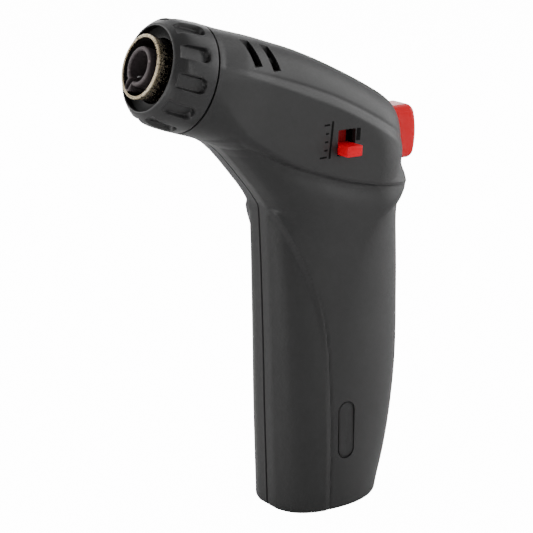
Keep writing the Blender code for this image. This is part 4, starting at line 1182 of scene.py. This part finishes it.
def gauge_pane():
    """The gauge insert: an obround pane set a little below the flank, following its curve."""
    gap, corner = 0.16, 2.93
    x0, x1, z0, z1 = WINDOW_BOX
    # how far in from the pane's edge, and how far below the flank
    steps = ((0.0, 1.6), (0.05, 0.85), (0.16, 0.64), (0.4, 0.55), (0.9, 0.53), (1.5, 0.53),
             (2.1, 0.53), (2.6, 0.53))
    rows = []
    for inset, sink in steps:
        room = gap + inset
        outline = rounded(x0 + room, x1 - room, z0 + room, z1 - room, corner - inset, 12)
        outline = divided(outline, edges=(25, 51), steps=14)
        rows.append(np.array([on_flank(x, z, -sink) for x, z in outline]))
    base = rows[0].copy()
    base[:, 1] = -11.9
    obj = lofted("gauge_pane", [base] + rows, [WINDOW], None)
    flange = plate("join", rounded(-4.0, 4.6, 16.2, 37.2, 3.0, 8), -12.1, -11.6)
    boolean(obj, flange, "UNION")
    shade(obj)
    return obj


piece(gauge_pane(), "housing", "fuel_window")

# ------------------------------------------------------------------ screws
# y, radius
SCREW_PROFILE = [
    (-7.7, 0), (-6.9, 1.0), (-2.0, 1.0), (3.0, 1.0), (7.3, 1.0), (7.35, 2.0), (7.5, 2.12),
    (7.9, 2.12), (8.3, 2.0), (8.7, 1.75), (8.95, 1.35), (9.08, 0.8), (9.1, 0),
]


def cross_screw(name, x, z):
    screw = turned(name, SCREW_PROFILE, [STEEL], (x, 0, z), (0, 1, 0), 32)
    long, short, depth = 1.35, 0.27, (8.15, 10)
    cross, other = [block("cut", (x - a, x + a), depth, (z - b, z + b))
                    for a, b in ((long, short), (short, long))]
    boolean(cross, other, "UNION")
    boolean(screw, cross)
    shade(screw)
    return screw


for k, (x, z) in enumerate(SCREWS):
    piece(cross_screw(f"screw_{k + 1}", x, z), "housing", f"shell_screw_{k + 1}")


# ------------------------------------------------------------------ base and filling valve
def base_outline(inset):
    """The body's (x, y) outline near its base, drawn in by inset."""
    n = 56
    q = spread(n, lambda q: 1 + 2.0 * np.exp(-q / 0.06) + 1.0 * np.sqrt(0.05 / (1 - q + 0.002)))
    x, _, y = sections(np.array([28.9]), q[None, :], inset)
    x, y = x[0], y[0]
    return [(x[k], -y[k]) for k in range(n)] + [(x[k], y[k]) for k in range(n - 2, 0, -1)]


def foot_plate():
    # inset, z
    levels = [(5.75, 0.05), (5.45, 0.1), (5.32, 0.3), (5.3, 0.6), (5.3, 2.3), (2.9, 2.3),
              (2.9, 3.9)]
    rows = [[(x, y, z) for x, y in base_outline(inset)] for inset, z in levels]
    obj = lofted("foot_plate", rows, [CHARCOAL], None, caps_first=True)
    bore = [(-1, 5.0), (0.15, 4.7), (0.35, 4.5), (1.1, 4.1), (1.3, 3.9), (5, 3.9)]
    boolean(obj, turned("bore", bore, at=(FILLER_X, 0, 0), axis=(0, 0, 1), segments=64))
    shade(obj)
    return obj


# height above the piece's lower end, radius
FILLER_BODY = [
    (0.05, 1.75), (0.0, 1.95), (0.0, 2.7), (0.12, 2.9), (0.5, 3.35), (0.7, 3.4), (6.0, 3.4),
    (6.3, 3.2), (6.6, 3.4), (14.2, 3.4), (14.2, 1.7), (12.6, 1.7), (12.6, 2.3), (3.0, 2.3),
    (3.0, 1.7), (0.3, 1.7),
]
FILLER_PIN = [
    (0.15, 0), (0.05, 0.45), (0.0, 0.7), (0.1, 0.9), (0.4, 1.15), (0.6, 1.2), (5.4, 1.2),
    (5.4, 2.0), (6.6, 2.0), (6.6, 0),
]
piece(foot_plate(), "housing", "base_plate")
piece(turned("filler_body", FILLER_BODY, [BRASS], (FILLER_X, 0, 2.0), (0, 0, 1), 64, closed=True),
      "housing", "fill_valve_body")
piece(turned("filler_pin", FILLER_PIN, [STEEL], (FILLER_X, 0, 2.4), (0, 0, 1), 40),
      "filler", "fill_valve_stem")


# ------------------------------------------------------------------ springs
def spring(node, way, radius, wire, turns):
    """A coil of round wire in place of its CAD node.
    """
    low, high = (np.array(c, float) * 1000 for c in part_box(node))
    way = np.array(way, float)
    u = np.cross(way, (0.0, 1.0, 0.0))
    v = np.cross(way, u)
    middle, span = (low + high) / 2, float((high - low) @ way)
    start, length = middle - way * (span / 2 - wire), span - 2 * wire
    per_turn, sides = 32, 10
    count = turns * per_turn + 1
    angles = [2 * math.pi * j / sides for j in range(sides)]
    rows = []
    for k in range(count):
        t = 2 * math.pi * k / per_turn
        out = u * math.cos(t) + v * math.sin(t)
        along = ((v * math.cos(t) - u * math.sin(t)) * (2 * math.pi * radius / per_turn)
                 + way * length / (count - 1))
        side = np.cross(along / np.linalg.norm(along), out)
        centre = start + way * (length * k / (count - 1)) + out * radius
        rows.append([centre + (out * math.cos(a) + side * math.sin(a)) * wire for a in angles])
    verts, rings = stacked(rows)
    faces = bands(rings) + [tuple(rings[0])[::-1], tuple(rings[-1])]
    coil = make(node.replace("_spring", "_coil"), verts, faces, [STEEL], 60)
    piece(coil, "housing", node)
    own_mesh(coil)


spring("trigger_spring", way=(1, 0, 0), radius=4.1, wire=0.4, turns=4)
spring("valve_spring", way=(0, 0, 1), radius=1.7, wire=0.28, turns=3)
spring("fill_valve_spring", way=(0, 0, 1), radius=1.6, wire=0.25, turns=4)

# ------------------------------------------------------------------ stage
for name in ("Cube", "Light", "Camera"):
    if name in bpy.data.objects:
        bpy.data.objects.remove(bpy.data.objects[name], do_unlink=True)


def floor_look():
    """A pale floor that glows white to the camera only."""
    n = Nodes("pale_floor")
    cloud = n.noise(scale=3, detail=3, rough=0.5)
    colour = n.ramp(cloud, (0.3, (0.80, 0.80, 0.80)), (0.7, (0.85, 0.85, 0.85)))
    seen = n.add("ShaderNodeLightPath").outputs["Is Camera Ray"]
    return n.set(Base_Color=colour, Roughness=0.8, Emission_Color=(1.0, 1.0, 1.0),
                 Emission_Strength=n.math("MULTIPLY", seen, 14.0))


def stage_floor():
    """A floor that curves up into a wall behind the torch."""
    # distance away from the camera, z
    profile = [(-6000, 0), (0, 0), (2500, 0), (3200, 80), (3800, 400), (4200, 1000),
               (4400, 1900), (4400, 5000)]
    half_width = 6000
    away, side = np.array([0.5556, 0.8315]), np.array([0.8315, -0.5556])
    verts = [(*(away * distance + side * width), z)
             for distance, z in profile for width in (-half_width, half_width)]
    faces = [(2 * k, 2 * k + 1, 2 * k + 3, 2 * k + 2) for k in range(len(profile) - 1)]
    return make("floor", verts, faces, [floor_look()], 60, clean=False)


stage_floor()


# ------------------------------------------------------------------ world
def build_world():
    """A white tent, dim on the viewer's side and bright at the sides and behind."""
    scene = bpy.context.scene
    if scene.world is None:
        scene.world = bpy.data.worlds.new("studio")
    scene.world.use_nodes = True
    tree = scene.world.node_tree
    tree.nodes.clear()
    add, join = tree.nodes.new, tree.links.new

    place = add("ShaderNodeTexCoord")
    facing = add("ShaderNodeVectorMath")
    facing.operation = "DOT_PRODUCT"
    facing.inputs[1].default_value = (-0.50, -0.75, 0.85)  # towards the viewer and up
    join(place.outputs["Generated"], facing.inputs[0])
    span = add("ShaderNodeMapRange")
    span.inputs["From Min"].default_value = -1.0
    span.inputs["From Max"].default_value = 1.0
    join(facing.outputs["Value"], span.inputs["Value"])
    tent = add("ShaderNodeValToRGB")
    ramp = tent.color_ramp
    ramp.interpolation = "B_SPLINE"
    # position, brightness
    stops = ((0.0, 1.0), (0.33, 0.90), (0.52, 0.40), (0.70, 0.115), (1.0, 0.075))
    for k, (at, level) in enumerate(stops):
        element = ramp.elements[k] if k < 2 else ramp.elements.new(at)
        element.position = at
        element.color = (level, level, level, 1.0)
    join(span.outputs[0], tent.inputs[0])
    lighting = add("ShaderNodeBackground")
    lighting.inputs["Strength"].default_value = 5.0
    join(tent.outputs[0], lighting.inputs[0])
    # the camera sees plain white instead
    backdrop = add("ShaderNodeBackground")
    backdrop.inputs["Color"].default_value = (1.0, 1.0, 1.0, 1.0)
    backdrop.inputs["Strength"].default_value = 20.0
    path = add("ShaderNodeLightPath")
    either = add("ShaderNodeMixShader")
    join(path.outputs["Is Camera Ray"], either.inputs[0])
    join(lighting.outputs[0], either.inputs[1])
    join(backdrop.outputs[0], either.inputs[2])
    join(either.outputs[0], add("ShaderNodeOutputWorld").inputs[0])


build_world()


# ------------------------------------------------------------------ lights and camera (m)
def softbox(name, at, size, power):
    """A rectangular lamp aimed at the torch."""
    data = bpy.data.lights.new(name, "AREA")
    data.shape = "RECTANGLE"
    data.size, data.size_y = size
    data.energy = power
    lamp = link(name, data)
    lamp.location = at
    aim = Vector((0.0, 0.0, 0.09)) - Vector(at)
    lamp.rotation_euler = aim.to_track_quat("-Z", "Y").to_euler()


softbox("key", at=(-0.85, 0.05, 0.35), size=(0.6, 0.9), power=1.6)
softbox("top", at=(0.30, 0.80, 0.42), size=(0.7, 0.5), power=2.0)
softbox("low", at=(-0.70, -0.12, 0.07), size=(0.5, 0.12), power=0.7)
softbox("rim", at=(0.85, 0.02, 0.30), size=(0.5, 0.9), power=2.0)
softbox("strip", at=(0.20, -0.85, 0.40), size=(0.10, 0.6), power=0.9)
softbox("side", at=(0.85, -0.55, 0.30), size=(0.35, 0.9), power=2.2)


def view_camera():
    """Looks from the front left, a little above."""
    data = bpy.data.cameras.new("view")
    data.sensor_width = 36.0
    data.lens = 136.5
    data.clip_start = 0.01
    data.clip_end = 50.0
    camera = link("view", data)
    heading, rise = math.radians(33.75), math.radians(15.20)
    backwards = Vector((-math.sin(heading) * math.cos(rise),
                        -math.cos(heading) * math.cos(rise), math.sin(rise)))
    camera.location = (-0.36510, -0.51533, 0.24995)
    camera.rotation_euler = backwards.to_track_quat("Z", "Y").to_euler()
    bpy.context.scene.camera = camera


view_camera()
